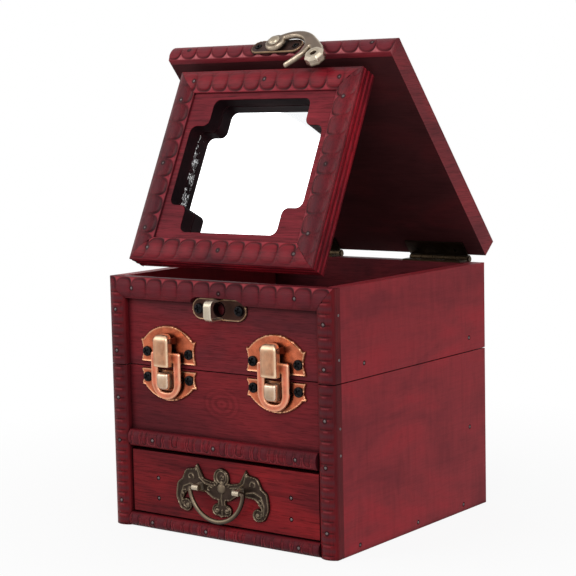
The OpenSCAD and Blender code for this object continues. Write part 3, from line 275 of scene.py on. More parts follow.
# ---------------------------------------------------------------- finishes
class Finish:
    """The nodes of one procedural finish, all on Object coordinates."""

    def __init__(self, name, roughness=0.5, metallic=0.0, specular=0.5):
        self.material = bpy.data.materials.new(name)
        self.material.use_nodes = True
        self.tree = self.material.node_tree
        self.tree.nodes.clear()
        out = self.tree.nodes.new("ShaderNodeOutputMaterial")
        self.shader = self.tree.nodes.new("ShaderNodeBsdfPrincipled")
        self.tree.links.new(self.shader.outputs[0], out.inputs[0])
        for key, value in (("Roughness", roughness), ("Metallic", metallic),
                           ("Specular IOR Level", specular)):
            self.shader.inputs[key].default_value = value
        self.object_place = self.add("ShaderNodeTexCoord").outputs["Object"]

    def add(self, kind, links=(), **settings):
        return add_node(self.tree, kind, links, **settings)

    def stretched(self, scale, shift=(0, 0, 0)):
        """Object coordinates scaled on each axis: a small scale is the direction of the grain."""
        return self.add("ShaderNodeMapping", {"Vector": self.object_place, "Scale": scale,
                                              "Location": shift}).outputs[0]

    def noise(self, place, scale=1.0, detail=3.0, rough=0.5, twist=0.0):
        return self.add("ShaderNodeTexNoise", {
            "Vector": place, "Scale": scale, "Detail": detail, "Roughness": rough,
            "Distortion": twist}).outputs["Fac"]

    def steps(self, value, *stops, smooth=False):
        """A colour for each stop (place, colour), blended between them."""
        node = self.add("ShaderNodeValToRGB", {"Fac": value})
        ramp = node.color_ramp
        ramp.interpolation = "EASE" if smooth else "LINEAR"
        while len(ramp.elements) < len(stops):
            ramp.elements.new(0.5)
        for element, (at, colour) in zip(ramp.elements, stops):
            element.position = at
            element.color = (*colour, 1) if not np.isscalar(colour) else (colour, colour, colour, 1)
        return node.outputs["Color"]

    def blend(self, factor, a, b, kind="MIX"):
        a, b = ((*v, 1) if isinstance(v, tuple) else v for v in (a, b))
        return self.add("ShaderNodeMix", {0: factor, 6: a, 7: b}, data_type="RGBA",
                        blend_type=kind).outputs[2]

    def times(self, a, b, kind="MULTIPLY"):
        return self.add("ShaderNodeMath", {0: a, 1: b}, operation=kind).outputs[0]

    def mark(self, name):
        return self.add("ShaderNodeAttribute", attribute_name=name).outputs["Fac"]

    def bumped(self, height, depth_mm, strength=1.0, under=None):
        inputs = {"Height": height, "Distance": depth_mm * MM, "Strength": strength}
        if under is not None:
            inputs["Normal"] = under
        return self.add("ShaderNodeBump", inputs).outputs["Normal"]

    def link(self, key, value):
        self.tree.links.new(value, self.shader.inputs[key])

    def hollows(self, reach_mm):
        """Near 0 in corners and recesses, near 1 in the open."""
        return self.add("ShaderNodeAmbientOcclusion", {"Distance": reach_mm * MM},
                        samples=6).outputs["AO"]


def colour(r, g, b):
    """A colour as it is seen on a screen (0 to 255), turned into plain light."""
    c = np.array([r, g, b]) / 255.0
    return tuple(float(v) for v in np.where(c <= 0.04045, c / 12.92, ((c + 0.055) / 1.055) ** 2.4))


def grain_scale(along, fine, slow):
    """Scale of a pattern whose streaks run along one axis: slow that way and fine across it."""
    return tuple(slow if axis == along else fine for axis in "xyz")


def stained_wood(name, along, base, dark, bright, roughness=0.42, knot=None, shift=(0, 0, 0),
                 grain=0.5, raised=None, tint=None, specular=0.08, across=None):
    """Red stain on fine-grained wood. Broad cloudy patches move between dark, base and bright;
    long streaks and short pores follow the grain, and corners and the wood close to other parts
    are darkened as painted shade. raised is the colour of a stamped moulding's lands, which are
    brightened towards it as painted highlight and wear; tint that of the ground inside its stamps,
    and across a second, fainter grain."""
    f = Finish(name, roughness=roughness, specular=specular)
    clouds = f.noise(f.stretched(grain_scale(along, 46, 17), shift), 1.0, 3.0, 0.55, 0.6)
    streaks = f.noise(f.stretched(grain_scale(along, 900, 26), shift), 1.0, 4.0, 0.6, 0.25)
    pores = f.noise(f.stretched(grain_scale(along, 2600, 150), shift), 1.0, 2.0, 0.5)
    body = f.steps(clouds, (0.33, colour(*dark)), (0.5, colour(*base)),
                   (0.67, colour(*bright)))
    lines = f.steps(streaks, (0.34, 0.55), (0.5, 0.96), (0.68, 1.22))
    wood = f.blend(grain, body, f.blend(1.0, body, lines, "MULTIPLY"))
    specks = f.steps(pores, (0.38, 0.3), (0.47, 1.0))
    wood = f.blend(min(0.5, grain), wood, f.blend(1.0, wood, specks, "MULTIPLY"))
    if across is not None:
        faint = f.noise(f.stretched(grain_scale(across, 330, 60), shift), 1.0, 3.0, 0.6, 0.8)
        wash = f.steps(faint, (0.32, 0.74), (0.5, 1.0), (0.66, 1.16))
        washed = f.blend(1.0, wood, wash, "MULTIPLY")
        wood = f.blend(0.4, wood, washed)
    if knot is not None:
        centre = f.add("ShaderNodeMapping", {"Vector": f.object_place, "Scale": knot[1],
                                             "Location": knot[0]}).outputs[0]
        rings = f.add("ShaderNodeTexWave", {"Vector": centre, "Scale": 1.1, "Distortion": 1.6,
                                            "Detail": 2.0, "Detail Scale": 1.5},
                      wave_type="RINGS", rings_direction="SPHERICAL").outputs["Fac"]
        far = f.add("ShaderNodeVectorMath", {0: centre}, operation="LENGTH").outputs["Value"]
        near = f.steps(far, (0.0, 1.0), (0.75, 0.75), (1.25, 0.0), smooth=True)
        ringed = f.blend(1.0, wood, f.steps(rings, (0.25, 0.66), (0.7, 1.1)), "MULTIPLY")
        wood = f.blend(f.times(near, 0.6), wood, ringed)
    # Painted shade: ambient occlusion darkens corners, recesses and the wood close to other parts
    # towards a near-black red.
    open_ = f.hollows(3.0)
    wood = f.blend(f.steps(open_, (0.3, 0.9), (0.86, 0.0)), wood, painted_shade_red)
    height = f.times(streaks, pores, "ADD")
    normal = f.bumped(height, 0.05, 0.55)
    if raised is not None:
        groove, land = f.mark("groove"), f.mark("land")
        if tint is not None:
            wood = f.blend(f.times(f.mark("tint"), 0.75), wood, colour(*tint))
        # Grooves darkened: stain held in the cuts, and painted shade.
        wood = f.blend(f.times(groove, 0.92), wood, groove_stain_and_shade)
        # Lands brightened towards the raised colour: painted highlight and wear, broken up by
        # noise.
        worn = f.times(land, f.steps(f.noise(f.object_place, 900, 2.0), (0.3, 0.55), (0.6, 1.0)))
        wood = f.blend(f.times(worn, 0.9), wood, colour(*raised))
        fine = f.noise(f.object_place, 1400, 3.0, 0.6)
        normal = f.bumped(fine, 0.06, 0.5, normal)
    f.link("Base Color", wood)
    f.link("Normal", normal)
    f.link("Roughness", f.steps(clouds, (0.3, roughness + 0.1), (0.7, roughness - 0.06)))
    return f.material


# Near-black red of the painted shade in corners and beside other parts.
painted_shade_red = colour(30, 10, 13)
# Dark red of the stamped grooves: stain in the cuts, and painted shade on their flanks.
groove_stain_and_shade = colour(38, 10, 14)
panel_front = stained_wood("front_panel_stain", "x", (106, 30, 36), (84, 26, 32), (128, 36, 41),
    shift=(0.11, 0.0, 0.31), grain=0.4, knot=((0.05, 0.0, -7.1), (88, 0, 122)))
panel_tray = stained_wood("tray_front_stain", "x", (102, 34, 40), (80, 29, 35), (118, 33, 39),
    shift=(0.4, 0, 0.07), grain=0.45)
# The side boards are a lighter red than the front: painted light, for the stronger light on the
# right side.
side_panel_lit = stained_wood("side_board_lit_stain", "y", (142, 46, 53), (124, 44, 51), (158, 42, 51),
    shift=(0.2, 0.13, 0.0), grain=0.12, specular=0.07, across="z")
drawer_red = stained_wood("drawer_face_stain", "x", (108, 26, 31), (84, 22, 28), (132, 30, 34),
    shift=(0.0, 0.2, 0.2), grain=0.6)
inner_red = stained_wood("inside_stain", "x", (150, 20, 28), (124, 16, 24), (170, 24, 32),
    roughness=0.55, grain=0.3, specular=0.04)
lid_red = stained_wood("lid_board_stain", "y", (118, 44, 50), (94, 36, 42), (136, 44, 50),
    shift=(0.3, 0, 0), grain=0.4)
# Painted shade: a dark finish for the lid's inside, which faces down when the lid is open.
lid_underside_shade = stained_wood("lid_underside_painted_shade", "x", (68, 33, 35), (58, 28, 30), (84, 34, 37),
    roughness=0.6, grain=0.2, specular=0.03)
top_trim_wood = stained_wood("top_moulding_stain", "x", (102, 29, 37), (78, 26, 33), (122, 31, 39),
    grain=0.35, raised=(156, 60, 66), tint=(92, 38, 45))
lid_trim_wood = stained_wood("lid_moulding_stain", "x", (124, 38, 46), (96, 34, 42), (150, 40, 48),
    grain=0.35, shift=(0.2, 0.1, 0), tint=(108, 52, 59), raised=(190, 104, 108))
rail_wood = stained_wood("rail_moulding_stain", "x", (104, 26, 33), (80, 24, 31), (122, 26, 34),
    grain=0.35, shift=(0.5, 0, 0), tint=(80, 27, 35), raised=(146, 54, 62))
corner_wood = stained_wood("corner_moulding_stain", "z", (96, 22, 28), (72, 20, 26), (112, 22, 28),
    grain=0.3, shift=(0, 0.2, 0), tint=(76, 38, 44), raised=(150, 62, 68))
mirror_trim_x = stained_wood("mirror_moulding_stain_across", "x", (110, 25, 34), (74, 22, 30),
    (146, 32, 42), grain=0.6, raised=(156, 52, 62), tint=(136, 34, 44), specular=0.12,
    roughness=0.34)
mirror_trim_z = stained_wood("mirror_moulding_stain_along", "z", (102, 25, 33), (70, 22, 30),
    (132, 29, 38), grain=0.6, raised=(146, 50, 60), tint=(78, 28, 36), specular=0.12,
    roughness=0.34)
mirror_side = stained_wood("mirror_side_stain", "z", (122, 22, 32), (76, 20, 28), (150, 24, 36),
    grain=0.6, specular=0.04, raised=(168, 48, 60))
mirror_face = stained_wood("mirror_face_stain", "x", (116, 34, 43), (98, 31, 39), (132, 40, 48),
    grain=0.85)
# Painted shade: a near-black finish for the mirror window's inner walls and the eye hole.
near_black_shade = stained_wood("window_wall_painted_shade", "x", (24, 9, 12), (17, 7, 10), (38, 11, 15),
    roughness=0.6, grain=0.4, specular=0.02)


def old_metal(name, field, worn, recess, roughness=0.34, reach=1.3, rim=True, shade_and_grime=0.85,
              edge_wear_and_highlight=False):
    """Plated or cast metal: a brushed field, darkened in the recesses as painted shade and grime,
    and brightened towards the light colour as painted highlight and wear. With rim that
    brightening follows a mark on the mesh; the edge option adds the mesh's sharpest turns."""
    field, worn, recess = (colour(*c) for c in (field, worn, recess))
    f = Finish(name, roughness=roughness, metallic=1.0)
    patches = f.noise(f.object_place, 260, 4.0, 0.6)
    fine = f.noise(f.object_place, 2200, 3.0, 0.6)
    base = f.blend(f.steps(patches, (0.38, 0.0), (0.66, 1.0)), field,
                   tuple(0.55 * a + 0.45 * b for a, b in zip(field, recess)))
    # Painted shade and grime: ambient occlusion darkens recesses towards the recess colour.
    open_ = f.hollows(reach)
    base = f.blend(f.times(f.steps(open_, (0.3, 1.0), (0.86, 0.0)), shade_and_grime), base, recess)
    # Painted highlight and wear: the marked rims are brightened towards the light colour.
    if rim:
        rub_and_highlight = f.times(f.mark("rim"), f.steps(patches, (0.3, 0.5), (0.62, 1.0)))
        base = f.blend(rub_and_highlight, base, worn)
    # Painted highlight and wear on the mesh's sharpest edges.
    if edge_wear_and_highlight:
        sharp = f.add("ShaderNodeNewGeometry").outputs["Pointiness"]
        base = f.blend(f.steps(sharp, (0.515, 0.0), (0.56, 0.85)), base, worn)
    f.link("Base Color", base)
    f.link("Roughness", f.steps(patches, (0.3, roughness - 0.08), (0.7, roughness + 0.14)))
    f.link("Normal", f.bumped(fine, 0.03, 0.5))
    return f.material


copper = old_metal("latch_copper", (200, 108, 76), (252, 200, 156), (50, 20, 15), roughness=0.3,
    reach=3.4)
worn_copper = old_metal("tongue_copper", (190, 136, 104), (244, 214, 180), (58, 32, 26),
    roughness=0.36, reach=3.2)
flange_copper = old_metal("flange_copper", (216, 120, 92), (254, 200, 164), (50, 20, 16),
    roughness=0.34, reach=3.4)
bronze = old_metal("pull_bronze", (62, 50, 43), (172, 154, 128), (20, 15, 14), roughness=0.38,
    reach=1.8)
# Painted shade: the latch ears and pins sit in the rib's shadow, so their copper is darkened.
dark_copper = old_metal("shaded_copper", (104, 54, 40), (196, 124, 90), (34, 16, 12),
    roughness=0.45, reach=2.6)
post_metal = old_metal("post_copper", (190, 156, 128), (240, 218, 194), (60, 40, 32),
    roughness=0.34, reach=2.0)
plain_bronze = old_metal("hinge_bronze", (74, 60, 44), (158, 134, 98), (24, 18, 15),
    roughness=0.42, reach=2.0, rim=False)
eye_bronze = old_metal("eye_plate_bronze", (66, 44, 38), (216, 178, 140), (24, 16, 14),
    roughness=0.4, reach=1.4)
hook_metal = old_metal("hook_silver_bronze", (150, 134, 112), (232, 220, 200), (40, 32, 28),
    roughness=0.34, reach=1.8, edge_wear_and_highlight=True)
hook_bronze = old_metal("hook_dark_bronze", (104, 86, 74), (222, 206, 182), (28, 21, 19),
    roughness=0.34, reach=1.8)
black_screw = old_metal("black_screws", (36, 35, 37), (90, 90, 94), (6, 6, 7), roughness=0.45,
    reach=1.2, rim=False)
nail_steel = old_metal("nail_heads", (112, 100, 100), (200, 190, 188), (30, 18, 20), roughness=0.5,
    reach=0.9, rim=False, shade_and_grime=0.9)


def mirror_finish():
    """Silvered glass with a faint unevenness, and flecks of lost silver near its left edge."""
    f = Finish("mirror_silver", roughness=0.03, metallic=1.0)
    flecks = f.add("ShaderNodeTexVoronoi", {"Vector": f.stretched((1500, 380, 340)), "Scale": 1.0},
                   feature="DISTANCE_TO_EDGE").outputs["Distance"]
    fleck = f.steps(flecks, (0.03, 1.0), (0.08, 0.0))
    across = f.add("ShaderNodeSeparateXYZ", {0: f.object_place}).outputs["X"]
    edge = f.add("ShaderNodeMapRange", {"Value": across, "From Min": -0.0345, "From Max": -0.0315,
                                        "To Min": 1.0, "To Max": 0.0}).outputs[0]
    patch = f.steps(f.noise(f.object_place, 260, 3.0), (0.46, 0.0), (0.54, 1.0))
    lost = f.times(f.times(fleck, edge), patch)
    f.link("Base Color", f.blend(lost, (0.93, 0.94, 0.95), (0.98, 0.98, 0.98)))
    f.link("Roughness", f.steps(lost, (0.0, 0.02), (0.5, 0.85)))
    f.link("Normal", f.bumped(f.noise(f.object_place, 30, 2.0), 0.02, 0.05))
    return f.material


def card_finish():
    """Dull dark card with a felted surface."""
    f = Finish("backing_card", roughness=0.9, specular=0.1)
    fibres = f.noise(f.object_place, 1800, 4.0, 0.7)
    f.link("Base Color", f.steps(fibres, (0.3, colour(42, 34, 32)), (0.7, colour(66, 54, 50))))
    f.link("Normal", f.bumped(fibres, 0.08, 0.5))
    return f.material


silvered_glass = mirror_finish()
card = card_finish()

for names, finish in (
    ("drawer_bay_shelf drawer_guides tray_floor drawer_sides drawer_ends drawer_bottom "
     "carcass_base", inner_red),
    ("tray_hinge_lower_leaves tray_hinge_pins tray_hinge_lower_screws tray_hinge_upper_leaves "
     "tray_hinge_upper_screws lid_hinge_lower_leaves lid_hinge_pins lid_hinge_lower_screws "
     "lid_hinge_upper_leaves lid_hinge_upper_screws mirror_hinge_lid_leaves mirror_hinge_pins "
     "mirror_hinge_frame_leaves", plain_bronze),
    ("mirror_backing", card), ("mirror_glass", silvered_glass),
):
    for name in names.split():
        mesh = NODES[name].data
        if len(mesh.materials) == 0:
            mesh.materials.append(finish)
        for i in range(len(mesh.materials)):
            mesh.materials[i] = finish


# ---------------------------------------------------------------- eased boards
down = (0.0, -math.sin(math.radians(LID_OPEN)), -math.cos(math.radians(LID_OPEN)))
for name, body, finish, width in (
    ("carcass_left_side", "carcass", side_panel_lit, 0.4),
    ("carcass_right_side", "carcass", side_panel_lit, 0.4),
    ("carcass_back", "carcass", panel_front, 0.35),
    ("carcass_front_panel", "carcass", panel_front, 0.3),
    ("tray_left_side", "tray", side_panel_lit, 0.4),
    ("tray_right_side", "tray", side_panel_lit, 0.4),
    ("tray_back", "tray", panel_tray, 0.35),
    ("tray_front", "tray", panel_tray, 0.3),
    ("drawer_face", "drawer", drawer_red, 0.45),
):
    eased(name, body, finish, width)
# Painted shade: the lid faces that look down when it is open get the dark inside finish.
eased("lid_panel", "lid", lid_red, 0.6, inside=(lid_underside_shade, down))
# Painted shade: the mirror window's inner walls get the near-black finish.
tilt = math.radians(LID_OPEN + MIRROR_OPEN)
eased("mirror_window_board", "mirror", mirror_face, 0.4,
      inside=(near_black_shade, (0.0, -math.sin(tilt), -math.cos(tilt))), walls=True)


# ---------------------------------------------------------------- nails and screws
def centres_of(node, place):
    """The drawn nails of a node one by one: a merged copy's loose parts, each as its box."""
    bm = bmesh.new()
    bm.from_mesh(NODES[node].data)
    bmesh.ops.remove_doubles(bm, verts=bm.verts, dist=1e-6)
    bm.verts.ensure_lookup_table()
    label = np.full(len(bm.verts), -1)
    count = 0
    for v in bm.verts:
        if label[v.index] < 0:
            stack = [v]
            label[v.index] = count
            while stack:
                for e in stack.pop().link_edges:
                    for w in e.verts:
                        if label[w.index] < 0:
                            label[w.index] = count
                            stack.append(w)
            count += 1
    co = place(np.array([v.co for v in bm.verts]) * 1000)
    bm.free()
    return [(co[label == k].min(0), co[label == k].max(0)) for k in range(count)]


def out_of(direction, centre):
    """Places a turned shape so that its height runs out along a direction."""
    d = np.array(direction, float)
    a = np.cross(d, [0.0, 0, 1] if abs(d[2]) < 0.9 else [1.0, 0, 0])
    a /= np.linalg.norm(a)
    b = np.cross(d, a)
    return lambda co: centre + co[:, :1] * a + co[:, 1:2] * b + co[:, 2:] * d


nail_profile = ((0.05, -1.2), (0.6, -1.2), (0.66, -0.1), (0.62, 0.02), (0.45, 0.12),
                (0.24, 0.18), (0.05, 0.2))
nail_tips = {}
for node, body, shut, lift in (("carcass_nails", "carcass", as_drawn, as_drawn),
                               ("tray_nails", "tray", as_drawn, as_drawn),
                               ("lid_nails", "lid", shut_lid, open_lid),
                               ("mirror_nails", "mirror", fold_mirror, hang_mirror),
                               ("drawer_nails", "drawer", as_drawn, as_drawn)):
    parts = []
    for low, high in centres_of(node, shut):
        size, mid = high - low, (low + high) / 2
        axis = int(np.argmax(size))
        d = np.zeros(3)
        d[axis] = np.sign(mid[0]) if axis == 0 else -1.0
        tip = mid + d * (size[axis] / 2 - 0.12)
        co, faces = turned_shape(nail_profile, 12, out_of(d, tip))
        parts.append((lift(co), faces))
        nail_tips.setdefault(body, []).append(lift(tip[None])[0])
    piece(node + "_heads", *gather(parts), body, nail_steel, "nail_steel", (node,))


# ---------------------------------------------------------------- stamped mouldings
def arc_height(t, width, proud, edge):
    """Height of a half-round moulding at t across its width: the circle through both square
    edges and the crest, (proud - r) + root(r r - t t)."""
    rise = proud - edge
    r = (width * width / 4 + rise * rise) / (2 * rise)
    return proud - r + np.sqrt(r * r - t * t)


def oval_stamp(s, t, pitch, half_long, half_wide, power, lean=0.0, clear=1):
    """A row of stamped ovals. rho = (|s/a|^n + |t/b|^n)^(1/n) is 1 on the outline; the tool's
    line is a narrow dip there, deeper on one flank and darker there as painted shade, and the wood
    pillows a little inside it. clear is the side, +1 or -1 of t, where the corners between the
    ovals stay as bright lands, a painted highlight."""
    s = s + lean * t
    ds = (s / pitch - np.floor(s / pitch) - 0.5) * pitch
    rho = (np.abs(ds / half_long) ** power + np.abs(t / half_wide) ** power) ** (1 / power)
    line = np.exp(-((rho - 1) * half_long / 0.38) ** 2)
    side = np.clip(0.72 + 0.28 * np.sign(ds) * np.minimum(1, np.abs(ds) / 2), 0, 1)
    faint = np.clip(0.5 + 0.5 * clear * t / half_wide * 1.6, 0.28, 1)
    line = line * side * faint
    inside = np.clip(1 - rho, 0, 1)
    land = np.clip((rho - 1.09) / 0.1, 0, 1) * np.clip((clear * t - 0.25 * half_wide) / 0.9, 0, 1)
    return 0.42 * line - 0.16 * np.sqrt(inside), line, land, np.clip(inside * 0.9, 0, 1)


def upright_stamp(s, t, pitch, half_wide):
    """A row of stamped loops, open above: at ds from a loop's middle the line runs where
    |ds| = w, and round below where root(ds ds + (t - t0)^2) = w; w, t0 and the strength change
    from stamp to stamp, and an arc of painted highlight shines under each loop, with a strip of
    painted highlight beside the line between loops."""
    s = s + 0.35 * np.sin(s * 0.9) + 0.12 * np.sin(t * 2.0 + s)
    n = np.floor(s / pitch)
    ds = s - (n + 0.5) * pitch
    w = pitch * (0.3 + 0.05 * np.sin(n * 2.4))
    t0 = -half_wide * (0.32 + 0.12 * np.sin(n * 1.7 + 2))
    low = np.minimum(t - t0, 0)
    far = np.sqrt(ds * ds + low * low) - w
    strength = 0.6 + 0.4 * np.sin(n * 3.1 + 0.6)
    line = np.exp(-(far / 0.26) ** 2) * strength
    between = np.exp(-((np.abs(ds) - pitch / 2) / 0.2) ** 2) * (0.75 + 0.25 * np.sin(n * 4.3))
    shine = np.exp(-((far - 0.5) / 0.22) ** 2) * (low < -0.3) * (0.55 + 0.4 * np.sin(n * 1.3))
    beside = 0.7 * np.exp(-((np.abs(ds) - pitch / 2 + 0.45) / 0.16) ** 2)
    shine = np.maximum(shine, beside * (t < half_wide * 0.3))
    up = np.clip((half_wide - t) / 1.0, 0, 1) * np.clip((t + half_wide * 0.92) / 0.6, 0, 1)
    depth = np.clip(np.maximum(line, 0.8 * between), 0, 1) * up
    patch = np.clip(0.5 + 0.9 * np.sin(s * 0.37 + 0.8 * np.sin(s * 0.13)), 0, 1) * (far < 0)
    return 0.34 * depth, 0.9 * depth, np.clip(shine, 0, 1) * up, patch * up


def dash_stamp(s, t, pitch, half_wide):
    """Short bright ridges across the crest, one each pitch, with a dark cut under each and a
    tinted block half-way between. The ridges' brightness is painted highlight and wear, and the
    cut's darkness stain and painted shade."""
    ds = (s / pitch - np.floor(s / pitch) - 0.5) * pitch
    n = np.floor(s / pitch)
    reach = half_wide * (0.42 + 0.12 * np.sin(n * 2.1))
    span = np.clip((reach - np.abs(t + 0.3 * np.sin(n))) / 0.5, 0, 1)
    ridge = np.exp(-((ds + 0.5) / 0.3) ** 2) * span
    cut = np.exp(-((ds - 0.25) / 0.3) ** 2) * np.clip((half_wide * 0.8 - np.abs(t)) / 0.8, 0, 1)
    block = np.clip(1 - np.abs(np.abs(ds) - pitch / 2) / 1.5, 0, 1)
    return 0.3 * cut - 0.08 * ridge, 0.7 * cut, ridge * 0.6, block * (np.abs(t) < half_wide * 0.8)


def moulding(length, width, proud, edge, stamp, place, low_end, high_end, foot=(), cut=None,
             step=0.26, across=34):
    """A moulding as a grid: u along it, and a closed section around it. At t across the width it
    starts at s = low_end(t) and ends at s = high_end(t), so mitres are cut by the ends; its height
    is the half-round less the stamp, and cut(s, t, h) lets plates into it. foot holds more corners
    (t, h) of the section under the far edge."""
    a = np.linspace(-1, 1, across)
    t_arc = np.sign(a) * (1 - (1 - np.abs(a)) ** 1.15) * (width / 2 - 0.12)
    t = np.concatenate([[-width / 2, -width / 2], t_arc, [width / 2],
                        [p[0] for p in foot] or [width / 2]])
    h = np.concatenate([[0.0, edge - 0.12], arc_height(t_arc, width, proud, edge), [edge - 0.12],
                        [p[1] for p in foot] or [0.0]])
    on_arc = np.zeros(len(t), bool)
    on_arc[2:2 + across] = True
    rows = max(4, int(length / step))
    u = np.linspace(0, 1, rows)[:, None]
    s = low_end(t) * (1 - u) + high_end(t) * u
    grid_t, grid_h = np.broadcast_to(t, s.shape).copy(), np.broadcast_to(h, s.shape).copy()
    dip, groove, land, tint = stamp(s, grid_t)
    shown = on_arc[None, :] * np.clip((width / 2 - np.abs(grid_t)) / 0.35, 0, 1)
    grid_h = grid_h - dip * shown
    if cut is not None:
        grid_h = cut(s, grid_t, grid_h)
    co = place(s, grid_t, grid_h).reshape(-1, 3)
    marks = {"groove": (groove * shown).ravel(), "land": (land * shown).ravel(),
             "tint": (np.broadcast_to(tint, s.shape) * shown).ravel()}
    return co, tube_faces(rows, len(t)), marks


def join_mouldings(name, parts, body, finish, node, slot="trim_wood"):
    """Mouldings as one piece. The stain is dark in a ring around each nail that sits in them."""
    co, faces = gather([(p[0], p[1]) for p in parts])
    marks = {k: np.concatenate([p[2][k] for p in parts]) for k in parts[0][2]}
    far = np.full(len(co), FAR_OFF)
    for tip in nail_tips[body]:
        far = np.minimum(far, np.linalg.norm(co - tip, axis=1))
    ring = np.clip((1.35 - far) / 0.35, 0, 1)
    marks["groove"] = np.maximum(marks["groove"], ring)
    marks["land"] = marks["land"] * (1 - ring)
    marks["tint"] = marks["tint"] * (1 - ring)
    return piece(name, co, faces, body, finish, slot, (node,), marks, smooth=48)


def capsule_inside(x, z, length, height):
    """How far (x, z) is inside an outline with two round ends."""
    dx = np.maximum(np.abs(x) - (length - height) / 2, 0)
    return height / 2 - np.sqrt(dx * dx + z * z)


def flat(value):
    return lambda t: np.full_like(t, value)


def front_place(z_mid):
    return lambda s, t, h: np.stack([s, FRONT_Y - h, z_mid + t], axis=-1)


top_w = 9.5
top_mid = TOP_Z - top_w / 2


def let_in(size, t_mid, floor):
    """Cuts a moulding down to a floor where a plate with two round ends lies in it."""
    def cut(s, t, h):
        hole = capsule_inside(s, t_mid + t, *size) > -0.2
        return np.where(hole, np.minimum(h, floor), h)
    return cut


join_mouldings("top_moulding", [moulding(
    120, top_w, PROUD, EDGE, lambda s, t: oval_stamp(s + 2.4, t, SCALLOP, 4.05, 4.1, 3.0),
    front_place(top_mid),
    lambda t: -HALF_W + (top_w / 2 - t) / top_w * CORNER_W + 0.12,
    lambda t: HALF_W - (top_w / 2 - t) / top_w * CORNER_W - 0.12,
    cut=let_in(EYE_PLATE, top_mid - EYE_Z, 0.02))],
    "tray", top_trim_wood, "tray_top_trim")
join_mouldings("lid_moulding", [moulding(
    120, 9.0, PROUD, EDGE,
    lambda s, t: oval_stamp(s + 1.0, t, SCALLOP, 4.1, 3.9, 2.6, lean=0.22, clear=-1),
    lambda s, t, h: open_lid(np.stack([s, FRONT_Y - h, HOOK_Z + t], axis=-1)),
    flat(-HALF_W), flat(HALF_W), cut=let_in(HOOK_PLATE, 0.0, PROUD - 0.5))],
    "lid", lid_trim_wood, "lid_front_trim")
join_mouldings("middle_rail", [moulding(
    101, 7.2, PROUD, EDGE, lambda s, t: upright_stamp(s, t, 4.4, 3.6), front_place(39.6),
    flat(-50.7), flat(50.7))], "carcass", rail_wood, "mid_rail_trim")
join_mouldings("bottom_rail", [moulding(
    102, 6.0, PROUD, EDGE, lambda s, t: upright_stamp(s + 1.7, t, 4.9, 3.0), front_place(3.0),
    flat(-51.3), flat(51.3))], "carcass", rail_wood, "bottom_rail_trim")


def corner_place(side):
    """Across t runs to the outer side; the moulding stands along Z and its foot laps the side."""
    return lambda s, t, h: np.stack([side * (HALF_W - CORNER_W / 2 + t), FRONT_Y - h, s], axis=-1)


foot = ((CORNER_W / 2, 1.0), (CORNER_W / 2, -2.0), (-1.75, -2.0), (-1.75, 0.0))


def mitred_top(t):
    return np.minimum(TOP_Z - top_w + (t + CORNER_W / 2) / CORNER_W * top_w, TOP_Z)


for name, body, low, high, node in (
    ("lower_corner_mouldings", "carcass", flat(0.0), flat(71.6), "corner_trims_lower"),
    ("upper_corner_mouldings", "tray", flat(72.0), mitred_top, "corner_trims_upper"),
):
    join_mouldings(name, [moulding(
        72 if body == "carcass" else 38.6, CORNER_W, PROUD, EDGE,
        lambda s, t, k=k: dash_stamp(s + 0.9 + k, t, 4.7, CORNER_W / 2), corner_place(side),
        low, high, foot=foot, across=28) for k, side in ((0.0, 1), (1.3, -1))],
        body, corner_wood, node)

mirror_mid_y = sum(MIRROR_Y) / 2
mirror_half = (MIRROR_Y[1] - MIRROR_Y[0]) / 2
face_w = 10.5


def mirror_strip(side, upright):
    """One mitred strip on the mirror frame's face, drawn folded under the lid, outer edge first."""
    half = mirror_half if upright else MIRROR_X

    def place(s, t, h):
        off = face_w / 2 - t
        if upright:
            co = np.stack([side * (MIRROR_X - off), mirror_mid_y + s, BOARD_Z - h], axis=-1)
        else:
            co = np.stack([s, mirror_mid_y + side * (mirror_half - off), BOARD_Z - h], axis=-1)
        return hang_mirror(co)
    start = lambda t: -half + (face_w / 2 - t) + (0.06 if upright else 0.08)
    end = lambda t: half - (face_w / 2 - t) - (0.06 if upright else 0.08)
    stamp = lambda s, t: oval_stamp(s + 3.3 + side, t, SCALLOP, 4.1, 4.5, 2.8, clear=-1)
    return moulding(2 * half, face_w, 2.2, 0.8, stamp, place, start, end, across=30)


join_mouldings("mirror_mouldings_upright", [mirror_strip(s, True) for s in (-1, 1)],
               "mirror", mirror_trim_z, "mirror_face_trims", "mirror_wood")
join_mouldings("mirror_mouldings_across", [mirror_strip(s, False) for s in (-1, 1)],
               "mirror", mirror_trim_x, "mirror_face_trims", "mirror_wood")


def beads(s, t):
    """Three long beads side by side: the height dips as cos^2 between them, darkened at the bottom
    as stain and painted shade, and brightened unevenly along each crest as painted highlight."""
    q = np.cos(math.pi * 3 * (t / rail_h + 0.5)) ** 2
    worn = 0.6 + 0.4 * np.sin(s * 0.35 + 2 * np.sin(s * 0.11 + t))
    return 0.55 * q, np.clip(q * 1.5 - 0.45, 0, 1), np.clip(0.55 - q, 0, 1) * worn, 0 * q


def rail_strip(side, upright):
    """One side of the mirror's frame: a board on edge whose outer face is beaded."""
    half = mirror_half if upright else MIRROR_X
    short = 0.0 if upright else rail_t

    def place(s, t, h):
        z = BOARD_Z + rail_h / 2 + t
        if upright:
            co = np.stack([side * (MIRROR_X - rail_t + h), mirror_mid_y + s, z], axis=-1)
        else:
            co = np.stack([s, mirror_mid_y + side * (mirror_half - rail_t + h), z], axis=-1)
        return hang_mirror(co)
    return moulding(2 * half, rail_h, rail_t, rail_t - 0.25, beads, place, flat(-half + short),
                    flat(half - short), step=0.7, across=40)


